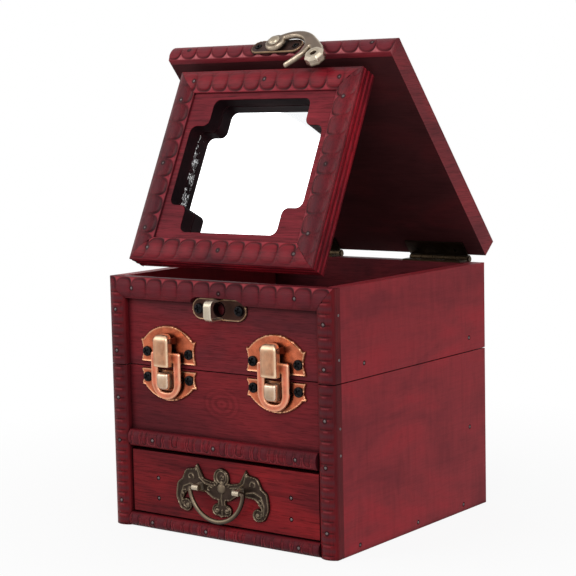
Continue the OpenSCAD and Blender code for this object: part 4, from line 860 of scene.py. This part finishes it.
rail_z = fold_mirror(np.array([v.co for v in NODES["mirror_rails"].data.vertices]) * 1000)
rail_h = rail_z[:, 2].max() - BOARD_Z
rail_x = np.unique(np.round(np.abs(rail_z[:, 0]), 2))
rail_t = MIRROR_X - rail_x[rail_x < MIRROR_X - 0.5].max()
join_mouldings("mirror_frame_sides", [rail_strip(s, u) for u in (True, False) for s in (-1, 1)],
               "mirror", mirror_side, "mirror_rails", "mirror_wood")


def cross_head(radius, height, slot_half, slot_reach, flush=False):
    """A domed cross-head screw as a polar grid: height falls as 1 - (r/R)^4 towards the rim, less
    the depth of two crossing slots with soft edges; the rim turns down to a short shank."""
    rings, sides = 16, 56
    r = np.linspace(0.02, 1, rings)[:, None] * radius
    a = round_angles(sides)[None, :]
    x, y = r * np.cos(a), r * np.sin(a)
    top = (height * 0.15 if flush else height) * (1 - (r / radius) ** 4) ** 0.5 + 0 * a
    edge = lambda v, w: np.clip((w - np.abs(v)) / 0.12 + 0.5, 0, 1)
    slots = np.maximum(edge(x, slot_half) * edge(y, slot_reach),
                       edge(y, slot_half) * edge(x, slot_reach))
    z = (0 if flush else height * 0.35) + top * 0.65 - slots * 0.55
    co = np.stack([x, y, z], axis=-1).reshape(-1, 3)
    rim = np.stack([x[-1], y[-1], np.full(sides, -0.6)], axis=-1)
    co = np.concatenate([co, rim])
    return co, tube_faces(rings + 1, sides)


def screws(name, node, body, centres, radius, height, lift, flush=False):
    parts = []
    for k, centre in enumerate(centres):
        co, faces = cross_head(radius, height, radius * 0.15, radius * 0.66, flush)
        a = 0.5 + k * 1.1
        turn = [[math.cos(a), math.sin(a), 0], [-math.sin(a), math.cos(a), 0], [0, 0, 1]]
        co = co @ np.array(turn)
        parts.append((lift(out_of((0, -1, 0), np.array(centre, float))(co)), faces))
    piece(name, *gather(parts), body, black_screw, "black_metal", (node,))


plate_y = FRONT_Y - 1.0
screws("lower_latch_screws", "catch_screws", "carcass",
       [(s * LATCH_X + k * LATCH_SCREW_X, plate_y, SEAM_Z - 4.7) for s in (-1, 1) for k in (-1, 1)],
       2.2, 0.9, as_drawn)
screws("upper_latch_and_eye_screws", "tray_front_screws", "tray",
       [(s * LATCH_X + k * LATCH_SCREW_X, plate_y, SEAM_Z + 6.5) for s in (-1, 1) for k in (-1, 1)]
       + [(k * 10.8, FRONT_Y - 1.2, EYE_Z) for k in (-1, 1)], 2.2, 0.9, as_drawn)
screws("hook_plate_screws", "hook_screws", "lid",
       [(k * 10.0, SEAT_Y - 1.0, HOOK_Z) for k in (-1, 1)], 1.3, 0.3, open_lid, flush=True)


# ---------------------------------------------------------------- relief plates
def outline_at(node, level, place):
    """Edges (x, z) of a drawn plate's flat back at one depth: those that an odd number of
    its triangles there use, cut at every corner that lies on them, and kept where just one of their
    two sides is covered."""
    mesh = NODES[node].data
    co = np.array([v.co for v in mesh.vertices]) * 1000
    co = np.round(place(co), 3)
    co, back = np.unique(co, axis=0, return_inverse=True)
    tris = back.ravel()[np.array([list(p.vertices) for p in mesh.polygons])]
    tris = tris[(np.abs(co[tris][:, :, 1] - level) < 0.02).all(1)]
    edges = np.sort(np.concatenate([tris[:, [0, 1]], tris[:, [1, 2]], tris[:, [2, 0]]]), axis=1)
    edges = edges[edges[:, 0] != edges[:, 1]]
    edges, uses = np.unique(edges, axis=0, return_counts=True)
    edges = edges[uses % 2 == 1]
    flat_co = co[:, [0, 2]]
    corners = flat_co[np.unique(tris)]
    cuts = []
    for a, b in flat_co[edges]:
        d = b - a
        length = np.linalg.norm(d)
        u = (corners - a) @ d / length ** 2
        off = np.abs((corners - a) @ np.array([-d[1], d[0]])) / length
        u = np.unique(np.concatenate([[0.0, 1.0], u[(off < 0.004) & (u > 1e-4) & (u < 1 - 1e-4)]]))
        chain = a + u[:, None] * d
        cuts.append(np.stack([chain[:-1], chain[1:]], axis=1))
    cuts = np.concatenate(cuts)
    d = cuts[:, 1] - cuts[:, 0]
    length = np.maximum(np.linalg.norm(d, axis=1), 1e-9)[:, None]
    side = np.column_stack([-d[:, 1], d[:, 0]]) / length * 0.012
    left, right = (covered(cuts.mean(1) + k * side, flat_co[tris]) for k in (1, -1))
    return cuts[left != right]


def covered(points, tris):
    """Whether each point lies in one of the triangles: on the same side of all three edges."""
    signs = []
    for k in range(3):
        a, b = tris[:, k], tris[:, (k + 1) % 3]
        signs.append((b[:, 0] - a[:, 0]) * (points[:, 1:] - a[:, 1])
                     - (b[:, 1] - a[:, 1]) * (points[:, :1] - a[:, 0]))
    s = np.array(signs)
    return ((s > 0).all(0) | (s < 0).all(0)).any(1)


def distance_to(points, segments):
    """Distance of each point from the nearest of the segments."""
    best = np.full(len(points), FAR_OFF)
    a, d = segments[:, 0], segments[:, 1] - segments[:, 0]
    ll = np.maximum((d * d).sum(1), 1e-12)
    for k in range(0, len(points), AT_ONCE):
        p = points[k:k + AT_ONCE, None] - a[None]
        u = np.clip((p * d).sum(2) / ll, 0, 1)
        q = p - u[..., None] * d
        best[k:k + AT_ONCE] = np.sqrt((q * q).sum(2)).min(1)
    return best


def is_inside(points, segments):
    """Whether each point lies inside: a ray to the right crosses the outline an odd number of
    times."""
    result = np.zeros(len(points), bool)
    (x0, y0), (x1, y1) = segments[:, 0].T, segments[:, 1].T
    for k in range(0, len(points), AT_ONCE):
        x, y = points[k:k + AT_ONCE, :1], points[k:k + AT_ONCE, 1:]
        spans = (y0 > y) != (y1 > y)
        with np.errstate(divide="ignore", invalid="ignore"):
            cross = x0 + (y - y0) / (y1 - y0) * (x1 - x0)
        result[k:k + AT_ONCE] = (spans & (x < cross)).sum(1) % 2 == 1
    return result


def relief(segments, gap, height, back_y):
    """A plate filled with points a set gap apart inside its outline. Each point's height is
    height(distance from the outline, x, z), drawn out from the back towards -Y. Returns points,
    faces and the marks that height gives."""
    lengths = np.linalg.norm(segments[:, 1] - segments[:, 0], axis=1)
    parts = np.maximum(1, np.ceil(lengths / gap)).astype(int)
    which = np.repeat(np.arange(len(segments)), parts)
    first = np.repeat(np.cumsum(parts) - parts, parts)
    u = (np.arange(parts.sum()) - first) / parts[which]
    a, b = segments[which, 0], segments[which, 1]
    step = (b - a) / parts[which][:, None]
    starts = a + (b - a) * u[:, None]
    ends = starts + step
    rim, index = np.unique(np.round(np.concatenate([starts, ends]), 3), axis=0, return_inverse=True)
    index = index.ravel().reshape(2, -1).T
    low, high = rim.min(0), rim.max(0)
    xs = np.arange(low[0], high[0], gap)
    zs = np.arange(low[1], high[1], gap * 0.866)
    gx, gz = np.meshgrid(xs, zs)
    gx = gx + (np.arange(len(zs)) % 2)[:, None] * gap / 2
    inner = np.column_stack([gx.ravel(), gz.ravel()])
    inner = inner[is_inside(inner, segments)]
    inner = inner[distance_to(inner, segments) > gap * 0.55]
    points = np.concatenate([rim, inner])
    out = delaunay_2d_cdt([Vector(p) for p in points],
                          [tuple(int(i) for i in e) for e in index], [], 0, 1e-5)
    points = np.array([list(v) for v in out[0]])
    tris = np.array([list(f) for f in out[2] if len(f) == 3])
    tris = tris[is_inside(points[tris].mean(1), segments)]
    area = np.cross(points[tris[:, 1]] - points[tris[:, 0]],
                    points[tris[:, 2]] - points[tris[:, 0]])
    tris = tris[np.abs(area) > 1e-7]
    used, tris = np.unique(tris, return_inverse=True)
    tris = tris.reshape(-1, 3)
    points = points[used]
    h, rim_mark = height(distance_to(points, segments), points[:, 0], points[:, 1])
    n = len(points)
    front = np.column_stack([points[:, 0], back_y - h, points[:, 1]])
    rear = np.column_stack([points[:, 0], np.full(n, back_y), points[:, 1]])
    directed = np.concatenate([tris[:, [0, 1]], tris[:, [1, 2]], tris[:, [2, 0]]])
    keys = np.sort(directed, axis=1)
    _, first, uses = np.unique(keys, axis=0, return_index=True, return_counts=True)
    wall = directed[first[uses == 1]]
    walls = np.column_stack([wall[:, 1], wall[:, 0], wall[:, 0] + n, wall[:, 1] + n])
    faces = tris.tolist() + (tris[:, ::-1] + n).tolist() + walls.tolist()
    return np.concatenate([front, rear]), faces, np.concatenate([rim_mark, np.zeros(n)])


def plate(name, node, level, gap, height, body, finish, slot, shut=as_drawn, lift=as_drawn):
    """A relief over a drawn plate's outline, as the piece that stands for it."""
    co, faces, rim = relief(outline_at(node, level, shut), gap, height, level)
    piece(name, lift(co), faces, body, finish, slot, (node,), {"rim": rim}, smooth=60)


def rubbed(name, parts, body, finish, slot, node, rub_and_highlight, smooth=42, lift=as_drawn):
    """Several shapes as one piece that is rubbed evenly all over."""
    co, faces = gather(parts)
    return piece(name, lift(co), faces, body, finish, slot, (node,),
                 {"rim": np.full(len(co), rub_and_highlight)}, smooth=smooth)


def ring_out(profile, sides, x, y, z):
    """A closed profile of (radius, height) turned about an axis that runs out along -Y, with
    its last row joined to its first, so the middle stays open."""
    profile = np.asarray(profile, float)
    a, r, h = round_angles(sides), profile[:, :1], profile[:, 1:]
    co = np.stack([x + r * np.cos(a), y - h + 0 * a, z + r * np.sin(a)], axis=-1).reshape(-1, 3)
    last = (len(profile) - 1) * sides
    return co, grid_faces(len(profile), sides) + [
        [last + j, last + (j + 1) % sides, (j + 1) % sides, j] for j in range(sides)]


def across_path(path):
    """The unit vector that stands across a flat path at each of its points."""
    tangent = np.gradient(path, axis=0)
    tangent /= np.linalg.norm(tangent, axis=1)[:, None]
    return np.column_stack([-tangent[:, 1], tangent[:, 0]])


def rolled(d, field, crest, at=0.5, wide=0.32, edge=0.45):
    """Height over a plate's edge: it rises steeply from the edge to a rolled rim and settles on
    the field: field + (crest - field) exp(-((d - at) / wide)^2), times a rise that goes from
    edge to 1 as 1 - exp(-d / 0.12)."""
    rim = np.exp(-((d - at) / wide) ** 2)
    rise = edge + (1 - edge) * (1 - np.exp(-d / 0.12))
    return (field + (crest - field) * rim) * rise, rim * np.clip(d / 0.12, 0, 1)


def ridge(x, z, curve, wide):
    """A raised line along a curve, as exp(-(distance / wide)^2)."""
    curve = np.asarray(curve, float)
    segments = np.stack([curve[:-1], curve[1:]], axis=1)
    return np.exp(-(distance_to(np.column_stack([x, z]), segments) / wide) ** 2)


def arc(cx, cz, r, start, stop, shrink=1.0, n=28):
    """A piece of a circle, or of a spiral when its radius shrinks on the way."""
    a = np.radians(np.linspace(start, stop, n))
    rr = r * np.linspace(1, shrink, n)
    return np.column_stack([cx + rr * np.cos(a), cz + rr * np.sin(a)])


def both(curve):
    return [curve, curve * [-1, 1]]


pull_lines = sum((both(np.array(curve, float)) for curve in (
    arc(19.2, -9.0, 1.9, 20, -230, 0.35), [[4.5, 0.6], [9.0, 1.2], [12.0, 3.5], [13.4, 8.4]],
    [[13.2, -0.6], [17.5, 0.2], [21.0, -1.2], [22.6, -5.2], [22.0, -9.0]],
    arc(16.9, 3.4, 1.7, 200, -60, 0.5), arc(20.6, -3.9, 1.3, 120, -160, 0.5),
    arc(6.6, -0.9, 1.3, 150, -60, 0.6), arc(3.0, 1.9, 1.0, -60, 200, 0.5),
    arc(2.6, -9.4, 1.55, 100, -190, 0.5))), []) + [
    arc(0.0, 4.9, 2.6, -70, 250, 1.0), arc(0.4, 4.6, 1.1, 160, -120, 0.5),
    np.array([[0.0, -2.4], [-0.3, -4.5], [0.2, -7.4]]), np.array([[0.0, -9.4], [0.0, -12.0]])]
pull_beads = ((0, 2.6), (19.2, -9.2), (-19.2, -9.2), (0, 7.9), (2.7, -9.4), (-2.7, -9.4),
              (13.6, 6.9), (-13.6, 6.9), (11.3, -0.2), (-11.3, -0.2))


def pull_height(d, x, z):
    z = z - BAIL_Z
    h, rim = rolled(d, 0.72, 1.36, at=0.42, wide=0.24)
    lines = np.max([ridge(x, z, c, 0.27) for c in pull_lines], axis=0)
    boss = np.clip(1 - (x * x + z * z) / 2.3 ** 2, 0, 1) ** 0.5
    beads = np.zeros_like(x)
    for bx, bz in pull_beads:
        bead = np.clip(1 - ((x - bx) ** 2 + (z - bz) ** 2) / 0.75 ** 2, 0, 1) ** 0.5
        beads = np.maximum(beads, bead)
    h = h + (0.5 * lines + 0.45 * beads) * np.clip(d / 0.5, 0, 1) + 1.1 * boss
    mark = np.maximum(0.62 * rim, 0.42 * lines * np.clip(d / 0.5, 0, 1))
    return h, np.clip(np.maximum(mark, np.maximum(0.55 * beads, 0.4 * boss)), 0, 1)


def barrel(x0, x1, radius, y, z, ribs):
    """A ribbed barrel along X: its radius swells a little between its ribs."""
    n, sides = 26, 24
    x = np.linspace(x0, x1, n)
    u = np.linspace(0, 1, n)
    ends = np.clip(np.minimum(u, 1 - u) / 0.05 + 0.72, 0, 1)
    r = radius * (0.93 + 0.07 * np.abs(np.sin(math.pi * ribs * u))) * ends
    a = round_angles(sides)
    co = np.stack([x[:, None] + 0 * a, y + r[:, None] * np.cos(a),
                   z + r[:, None] * np.sin(a)], axis=-1)
    return co.reshape(-1, 3), tube_faces(n, sides)


plate("bat_pull", "pull_plate", FACE_Y, 0.2, pull_height, "drawer", bronze, "bronze")
lug_parts = []
for s in (-1, 1):
    lo, hi = sorted((s * 9.2, s * 12.8))
    lug_parts.append(barrel(lo, hi, 1.35, BAIL_Y, BAIL_Z, 4))
    lug_parts.append(prism([(BAIL_Y, BAIL_Z - 1.15), (BAIL_Y, BAIL_Z + 1.15),
                            (FACE_Y - 0.7, BAIL_Z + 1.6), (FACE_Y - 0.7, BAIL_Z - 1.6)],
                           lo + 0.8, hi - 0.8))
rubbed("pull_lugs", lug_parts, "drawer", hook_metal, "bronze", "pull_plate", 0.35)


def bail_ring():
    """The bail: a round rod bent to an arc, a little thicker at its lowest place, whose ends turn
    in to the lugs. The path is the arc's angle; each ring stands across the path."""
    drop, bow = 13.5, 14.5
    r = (bow * bow + drop * drop) / (2 * drop)
    a0 = math.asin((r - drop) / r)
    a = np.linspace(math.pi + a0, 2 * math.pi - a0, 90)
    path = np.column_stack([r * np.cos(a), BAIL_Z + r - drop + r * np.sin(a)])
    path = np.concatenate([[[-9.5, BAIL_Z], [-12.6, BAIL_Z], [-13.9, BAIL_Z - 0.1]], path[1:-1],
                           [[13.9, BAIL_Z - 0.1], [12.6, BAIL_Z], [9.5, BAIL_Z]]])
    across = across_path(path)
    n = len(path)
    thick = np.full(n, 0.96)
    thick[:2] = thick[-2:] = 0.78
    thick = thick * (1 + 0.035 * np.exp(-((np.arange(n) - n / 2) / 22) ** 2))
    b = round_angles(ROD_SIDES)
    flat_ = thick[:, None] * np.cos(b)
    out = thick[:, None] * np.sin(b)
    co = np.stack([path[:, :1] + across[:, :1] * flat_, BAIL_Y + out,
                   path[:, 1:] + across[:, 1:] * flat_], axis=-1).reshape(-1, 3)
    # Painted highlight along the rod's front, and a fainter one along its inner side.
    mark = np.clip(np.broadcast_to(np.cos(b + math.pi / 2 - 0.5), out.shape), 0, 1) ** 3 * 0.5
    mark = np.maximum(mark, 0.25 * np.clip(np.cos(b), 0, 1) ** 3)
    return co, tube_faces(n, ROD_SIDES), mark.ravel()


co, faces, mark = bail_ring()
piece("bail_ring", co, faces, "bail", bronze, "bronze", ("pull_bail",), {"rim": mark}, smooth=60)


def latch_height(d, x, z):
    """Latch plates: a rolled edge round a smooth field, brightened as painted highlight and wear.
    """
    h, rim = rolled(d, 0.78, 1.0, at=0.42, wide=0.3, edge=0.35)
    return h, rim * 0.8


for name, node, body in (("upper_latch_plates", "latch_plates", "tray"),
                         ("lower_latch_plates", "catch_plates", "carcass")):
    plate(name, node, FRONT_Y, 0.42, latch_height, body, copper, "copper")

ear_a = np.radians(np.linspace(90, 270, 14))
ear_top = np.column_stack([LATCH_PIN_Y + 1.25 * np.cos(ear_a), LATCH_PIN_Z + 1.25 * np.sin(ear_a)])
ear_outline = np.concatenate([ear_top, [[FRONT_Y - 0.4, LATCH_PIN_Z - 1.7],
                                        [FRONT_Y - 0.4, LATCH_PIN_Z + 1.5]]])
ears = [prism(ear_outline, s * LATCH_X + k * 4.65 - 0.35, s * LATCH_X + k * 4.65 + 0.35)
        for s in (-1, 1) for k in (-1, 1)]
soften(rubbed("latch_ears", ears, "tray", dark_copper, "copper", "latch_plates", 0.1), 0.18, 3)


def pillow(x_mid, half_w, z_low, z_high, back_y, front, half, sides=44):
    """An upright bar with rounded edges. Its rows run up Z; front(z) and half(z) give how far out
    and how wide it is there, and each row is |x/w|^4.5 + |y/d|^4.5 = 1. The marks are painted
    highlights: streaks down the front, and the bright side edges and ends."""
    u = np.linspace(0, 1, 60)
    z = z_low + (z_high - z_low) * (3 * u ** 2 - 2 * u ** 3)
    z[0], z[-1] = z_low, z_high
    a = round_angles(sides)
    cx = np.sign(np.cos(a)) * np.abs(np.cos(a)) ** (2 / 4.5)
    cy = np.sign(np.sin(a)) * np.abs(np.sin(a)) ** (2 / 4.5)
    f, w = front(z)[:, None], half_w * half(z)[:, None]
    y = (back_y + f) / 2 + (back_y - f) / 2 * cy
    co = np.stack([x_mid + w * cx, y, z[:, None] + 0 * a], axis=-1).reshape(-1, 3)
    # Painted highlights on the bar's side edges, its ends and streaks down its front.
    edge = np.exp(-((np.abs(cx) - 0.93) / 0.1) ** 2) + 0 * z[:, None]
    ends = np.exp(-((z - z_low - 0.5) / 0.6) ** 2) + np.exp(-((z - z_high + 1.2) / 1.3) ** 2)
    streak = 0.5 + 0.5 * np.sin(cx * 9.0 + 0.6 * np.sin(z[:, None] * 0.9))
    mark = np.clip(0.22 * streak + 0.85 * edge + 0.7 * ends[:, None], 0, 1)
    return co, tube_faces(len(z), sides), mark.ravel()


def round_ends(z, low, high, r_low, r_high):
    """1 in the middle of a bar, falling as a quarter circle within r of each end."""
    a = np.clip((low + r_low - z) / r_low, 0, 1)
    b = np.clip((z - high + r_high) / r_high, 0, 1)
    return np.sqrt(np.maximum(1 - a * a, 0)), np.sqrt(np.maximum(1 - b * b, 0))


def post_parts(s):
    low, high = SEAM_Z - 9.2, SEAM_Z - 1.6

    def front(z):
        a, b = round_ends(z, low, high, 2.4, 1.4)
        return plate_y - 0.6 - 4.2 * (0.45 + 0.55 * a) * (0.5 + 0.5 * b)

    def half(z):
        a, b = round_ends(z, low, high, 2.6, 1.2)
        return (0.45 + 0.55 * a) * (0.75 + 0.25 * b)
    return pillow(s * LATCH_X, 3.1, low, high, plate_y + 0.4, front, half)


posts = [post_parts(s) for s in (-1, 1)]
co, faces = gather([(p[0], p[1]) for p in posts])
piece("catch_posts", co, faces, "carcass", post_metal, "copper", ("catch_plates",),
      {"rim": np.concatenate([p[2] for p in posts])}, smooth=60)


def tongue_height(d, x, z):
    """The tongue's flange: smooth and gently domed, its edges brightened as painted highlight and
    wear.
    """
    h, rim = rolled(d, 0.95, 1.0, at=0.7, wide=0.6, edge=0.25)
    return h, np.exp(-(d / 0.45) ** 2) * 0.8 + 0.3 * rim


def round_foot(half_w, z_mid, drop, power, top, z_top):
    """A loop of points: a straight-sided shape with a round foot, x = w cos^power and
    z = mid + drop sin, and the points of its top."""
    a = np.radians(np.linspace(180, 360, 41))
    x = half_w * np.sign(np.cos(a)) * np.abs(np.cos(a)) ** power
    foot = np.column_stack([x, z_mid + drop * np.sin(a)])
    return np.concatenate([foot, [[half_w, z_top]], np.array(top).reshape(-1, 2),
                           [[-half_w, z_top]]])


def rib_part(s):
    """The tongue's hollow rib: flat in front, turned over its pin at the top as a round, its
    shoulders rounded and its foot bevelled."""
    low, high = SEAM_Z + 0.9, 86.7

    def front(z):
        a, b = round_ends(z, low, high, 0.9, 2.6)
        return -62.0 - 2.6 * np.where(z > LATCH_PIN_Z, b, 1.0) * (0.72 + 0.28 * a)

    def half(z):
        a, b = round_ends(z, low, high, 0.6, 3.0)
        return (0.9 + 0.1 * a) * (0.42 + 0.58 * b)
    return pillow(s * LATCH_X, 4.15, low, high, -60.3, front, half)


pin_profile = ((0.05, -5.15), (0.7, -5.15), (0.8, -5.0), (0.8, 5.0), (0.7, 5.15), (0.05, 5.15))
for s, side in ((-1, "left"), (1, "right")):
    loops = [round_foot(8.2, 66.3, 8.2, 1.0, [[7.3, 78.8], [-7.3, 78.8]], 78.0),
             round_foot(4.4, 64.7, 3.3, 0.6, [], SEAM_Z + 2.4)]
    segments = np.concatenate([np.stack([p, np.roll(p, -1, axis=0)], axis=1) for p in loops])
    segments[:, :, 0] += s * LATCH_X
    co, faces, rim = relief(segments, 0.36, tongue_height, -60.2)
    rib_co, rib_faces, rib_mark = rib_part(s)
    for part, (pco, pf, mark), finish in (("flange", (co, faces, rim), flange_copper),
                                          ("rib", (rib_co, rib_faces, rib_mark), worn_copper)):
        piece("tongue_" + part + "_" + side, pco, pf, "latch_" + side, finish, "copper",
              ("latch_tongue_" + side,), {"rim": mark}, smooth=60)
pins = [turned_shape(pin_profile, 20, out_of(
    (1, 0, 0), np.array([s * LATCH_X, LATCH_PIN_Y, LATCH_PIN_Z]))) for s in (-1, 1)]
rubbed("latch_hinge_pins", pins, "tray", dark_copper, "copper", "latch_pins", 0.0)


def rimmed(size, z_mid, field, crest, wide, edge, shine):
    """Height of a plate with two round ends: a thin rim, close to the outer edge only, brightened
    as painted highlight and wear, around a flat field."""
    def height(d, x, z):
        h, rim = rolled(d, field, crest, at=0.36, wide=wide, edge=edge)
        outer = capsule_inside(x, z - z_mid, *size) < 1.2
        return np.where(outer, h, np.minimum(h, field)), rim * outer * shine
    return height


plate("eye_plate_relief", "eye_plate", FRONT_Y, 0.34,
      rimmed(EYE_PLATE, EYE_Z, 0.85, 1.15, 0.2, 0.4, 0.8), "tray", eye_bronze, "bronze")


def strap():
    """The staple: a flat strap with rounded edges bent to a U, its path in (y, z) out from the
    plate and back, its width along X."""
    y0, out, half, corner = FRONT_Y - 0.6, 7.55, 4.0, 2.2
    far = FRONT_Y - 1.2 - out
    a = np.radians(np.linspace(0, 90, 9))
    top = np.column_stack([far + corner - corner * np.sin(a), half - corner + corner * np.cos(a)])
    low = np.column_stack([top[::-1, 0], -top[::-1, 1]])
    path = np.concatenate([[[y0, half], [(y0 + far) / 2, half]], top, low,
                           [[(y0 + far) / 2, -half], [y0, -half]]])
    normal = across_path(path)
    b = round_angles(ROD_SIDES)
    wide = 1.98 * np.sign(np.cos(b)) * np.abs(np.cos(b)) ** 0.35
    thick = 0.48 * np.sign(np.sin(b)) * np.abs(np.sin(b)) ** 0.5
    co = np.stack([np.broadcast_to(wide, (len(path), ROD_SIDES)),
                   path[:, :1] + normal[:, :1] * thick,
                   EYE_Z + path[:, 1:] + normal[:, 1:] * thick], axis=-1).reshape(-1, 3)
    return co, tube_faces(len(path), ROD_SIDES)


rubbed("eye_staple", [strap()], "tray", hook_metal, "bronze", "eye_plate", 0.5, smooth=60)
# Painted shade: a near-black lining stands for the shade inside the eye hole.
piece("eye_hole_painted_shade",
      *ring_out([(2.97, 1.0), (2.97, -4.6), (2.8, -4.6), (2.8, 0.9)], 40, 0.0, FRONT_Y, EYE_Z),
      "tray", near_black_shade, "inner_wood", ("eye_plate",), smooth=50)
plate("hook_plate_relief", "hook_base_plate", SEAT_Y, 0.4,
      rimmed(HOOK_PLATE, HOOK_Z, 0.84, 1.0, 0.22, 0.35, 0.75), "lid", eye_bronze, "bronze",
      shut_lid, open_lid)


def hook_height(d, x, z):
    """The hook: a rounded face, 2.2 thick in the middle and falling off as a quarter ellipse
    within 1.3 of the edge."""
    u = np.clip(1 - d / 1.3, 0, 1)
    # Mark: painted highlight along the edge, and the paler finger towards the lower tip.
    edge = np.exp(-((d - 0.25) / 0.3) ** 2)
    tip = np.clip((z - HOOK_Z + 15) / -3, 0, 1)
    return 1.05 + 1.15 * np.sqrt(1 - u * u), np.clip(0.12 + 0.75 * edge + 0.6 * tip, 0, 1)


plate("hook_swan", "hook", HOOK_BACK_Y, 0.42, hook_height, "hook", hook_bronze, "bronze",
      shut_lid, open_lid)
knob = ring_out([(1.5, 0.1), (3.9, 0.1), (4.6, 0.8), (4.6, 2.9), (3.5, 4.0), (1.9, 4.0),
                 (1.5, 3.7)], 8, 27.6, HOOK_BACK_Y, HOOK_Z - 11.4)
soften(rubbed("hook_knob", [knob], "hook", hook_metal, "bronze", "hook", 0.3, 30, open_lid), 0.2, 2)

dome = [(2.7 * math.sin(a), 1.5 * math.cos(a)) for a in np.radians(np.linspace(90, 2, 12))]
rivet_parts = [turned_shape([(1.6, -1.0), (2.6, 0.0)] + dome, 32,
                            out_of((0, -1, 0), np.array([0.0, -65.55, HOOK_Z]))),
               turned_shape([(2.2, 0.0), (2.4, 0.1), (2.4, 0.5), (2.2, 0.56)], 32,
                            out_of((0, -1, 0), np.array([0.0, SEAT_Y - 1.0, HOOK_Z])))]
rubbed("hook_rivet_dome", rivet_parts, "lid", hook_metal, "bronze", "hook_rivet", 0.2, 50, open_lid)


# ---------------------------------------------------------------- camera, floor and light
def camera():
    """Where the photograph was taken from: fitted to the box's corners and fittings."""
    turn, rise, roll = math.radians(36.813), math.radians(6.341), math.radians(-1.219)
    back = Vector((math.sin(turn) * math.cos(rise), -math.cos(turn) * math.cos(rise),
                   math.sin(rise)))
    right = Vector((math.cos(turn), math.sin(turn), 0))
    up_ = back.cross(right)
    x_axis = math.cos(roll) * right + math.sin(roll) * up_
    y_axis = -math.sin(roll) * right + math.cos(roll) * up_
    lens = bpy.data.cameras.new("camera")
    lens.lens = 106.32
    lens.sensor_width = 36
    lens.clip_end = 20
    ob = linked("camera", lens)
    m = Matrix((x_axis, y_axis, back)).transposed().to_4x4()
    m.translation = Vector((-0.0077, 0.0, 0.101484)) + back * 0.76456
    ob.matrix_world = m
    bpy.context.scene.camera = ob


def seen_directly(tree):
    """1 for rays that see the background: straight from the camera, by gloss or through glass."""
    path = add_node(tree, "ShaderNodeLightPath")
    value = path.outputs["Is Camera Ray"]
    for key in ("Is Glossy Ray", "Is Transmission Ray"):
        value = add_node(tree, "ShaderNodeMath", {0: value, 1: path.outputs[key]},
                         operation="MAXIMUM").outputs[0]
    return value


def mixed(tree, output, factor, first, second):
    """Ends a tree in two shaders mixed by a factor."""
    mix = add_node(tree, "ShaderNodeMixShader", {0: factor, 1: first.outputs[0],
                                                 2: second.outputs[0]})
    add_node(tree, output, {0: mix.outputs[0]})


def studio():
    """White surroundings, softer for the light they give, a pale floor and two large soft lamps."""
    white = (1, 1, 1, 1)
    world = bpy.data.worlds.new("studio")
    bpy.context.scene.world = world
    world.use_nodes = True
    tree = world.node_tree
    tree.nodes.clear()
    mixed(tree, "ShaderNodeOutputWorld", seen_directly(tree),
          add_node(tree, "ShaderNodeBackground", {0: white, 1: 0.42}),
          add_node(tree, "ShaderNodeBackground", {0: white, 1: 1.0}))

    material = bpy.data.materials.new("floor_paper")
    material.use_nodes = True
    tree = material.node_tree
    tree.nodes.clear()
    place = add_node(tree, "ShaderNodeTexCoord").outputs["Object"]
    far = add_node(tree, "ShaderNodeVectorMath", {0: place}, operation="LENGTH").outputs["Value"]
    fade = add_node(tree, "ShaderNodeMapRange", {"Value": far, "From Min": 0.08, "From Max": 0.3,
                                                 "To Min": 0.9, "To Max": 1.0}).outputs[0]
    part = add_node(tree, "ShaderNodeMath", {0: seen_directly(tree), 1: fade},
                    operation="MULTIPLY").outputs[0]
    mixed(tree, "ShaderNodeOutputMaterial", part,
          add_node(tree, "ShaderNodeBsdfDiffuse", {0: (0.82, 0.82, 0.82, 1)}),
          add_node(tree, "ShaderNodeEmission", {0: white, 1: 1.0}))
    n = 9
    x, y = np.meshgrid(np.linspace(-2.5, 2.5, n), np.linspace(-2.5, 2.5, n))
    mesh = bpy.data.meshes.new("floor")
    mesh.from_pydata(np.stack([x, y, 0 * x - 0.0002], axis=-1).reshape(-1, 3).tolist(), [],
                     grid_faces(n, n, closed=False))
    mesh.materials.append(material)
    floor = linked("floor", mesh)
    floor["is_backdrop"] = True

    for name, place, aim, size, watts in (
        ("key_lamp", (0.75, -1.1, 1.0), (0, 0, 0.1), 0.9, 11.0),
        ("fill_lamp", (-0.9, -1.0, 0.7), (0, 0, 0.1), 0.9, 5.0),
    ):
        data = bpy.data.lights.new(name, "AREA")
        data.shape = "SQUARE"
        data.size = size
        data.energy = watts
        lamp = linked(name, data)
        lamp.location = place
        lamp.rotation_euler = (Vector(aim) - Vector(place)).to_track_quat("-Z", "Y").to_euler()


camera()
studio()
bpy.context.scene.view_settings.view_transform = "Standard"

low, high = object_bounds()
{"cad": [list(cad_low), list(cad_high)], "visual": [list(low), list(high)]}
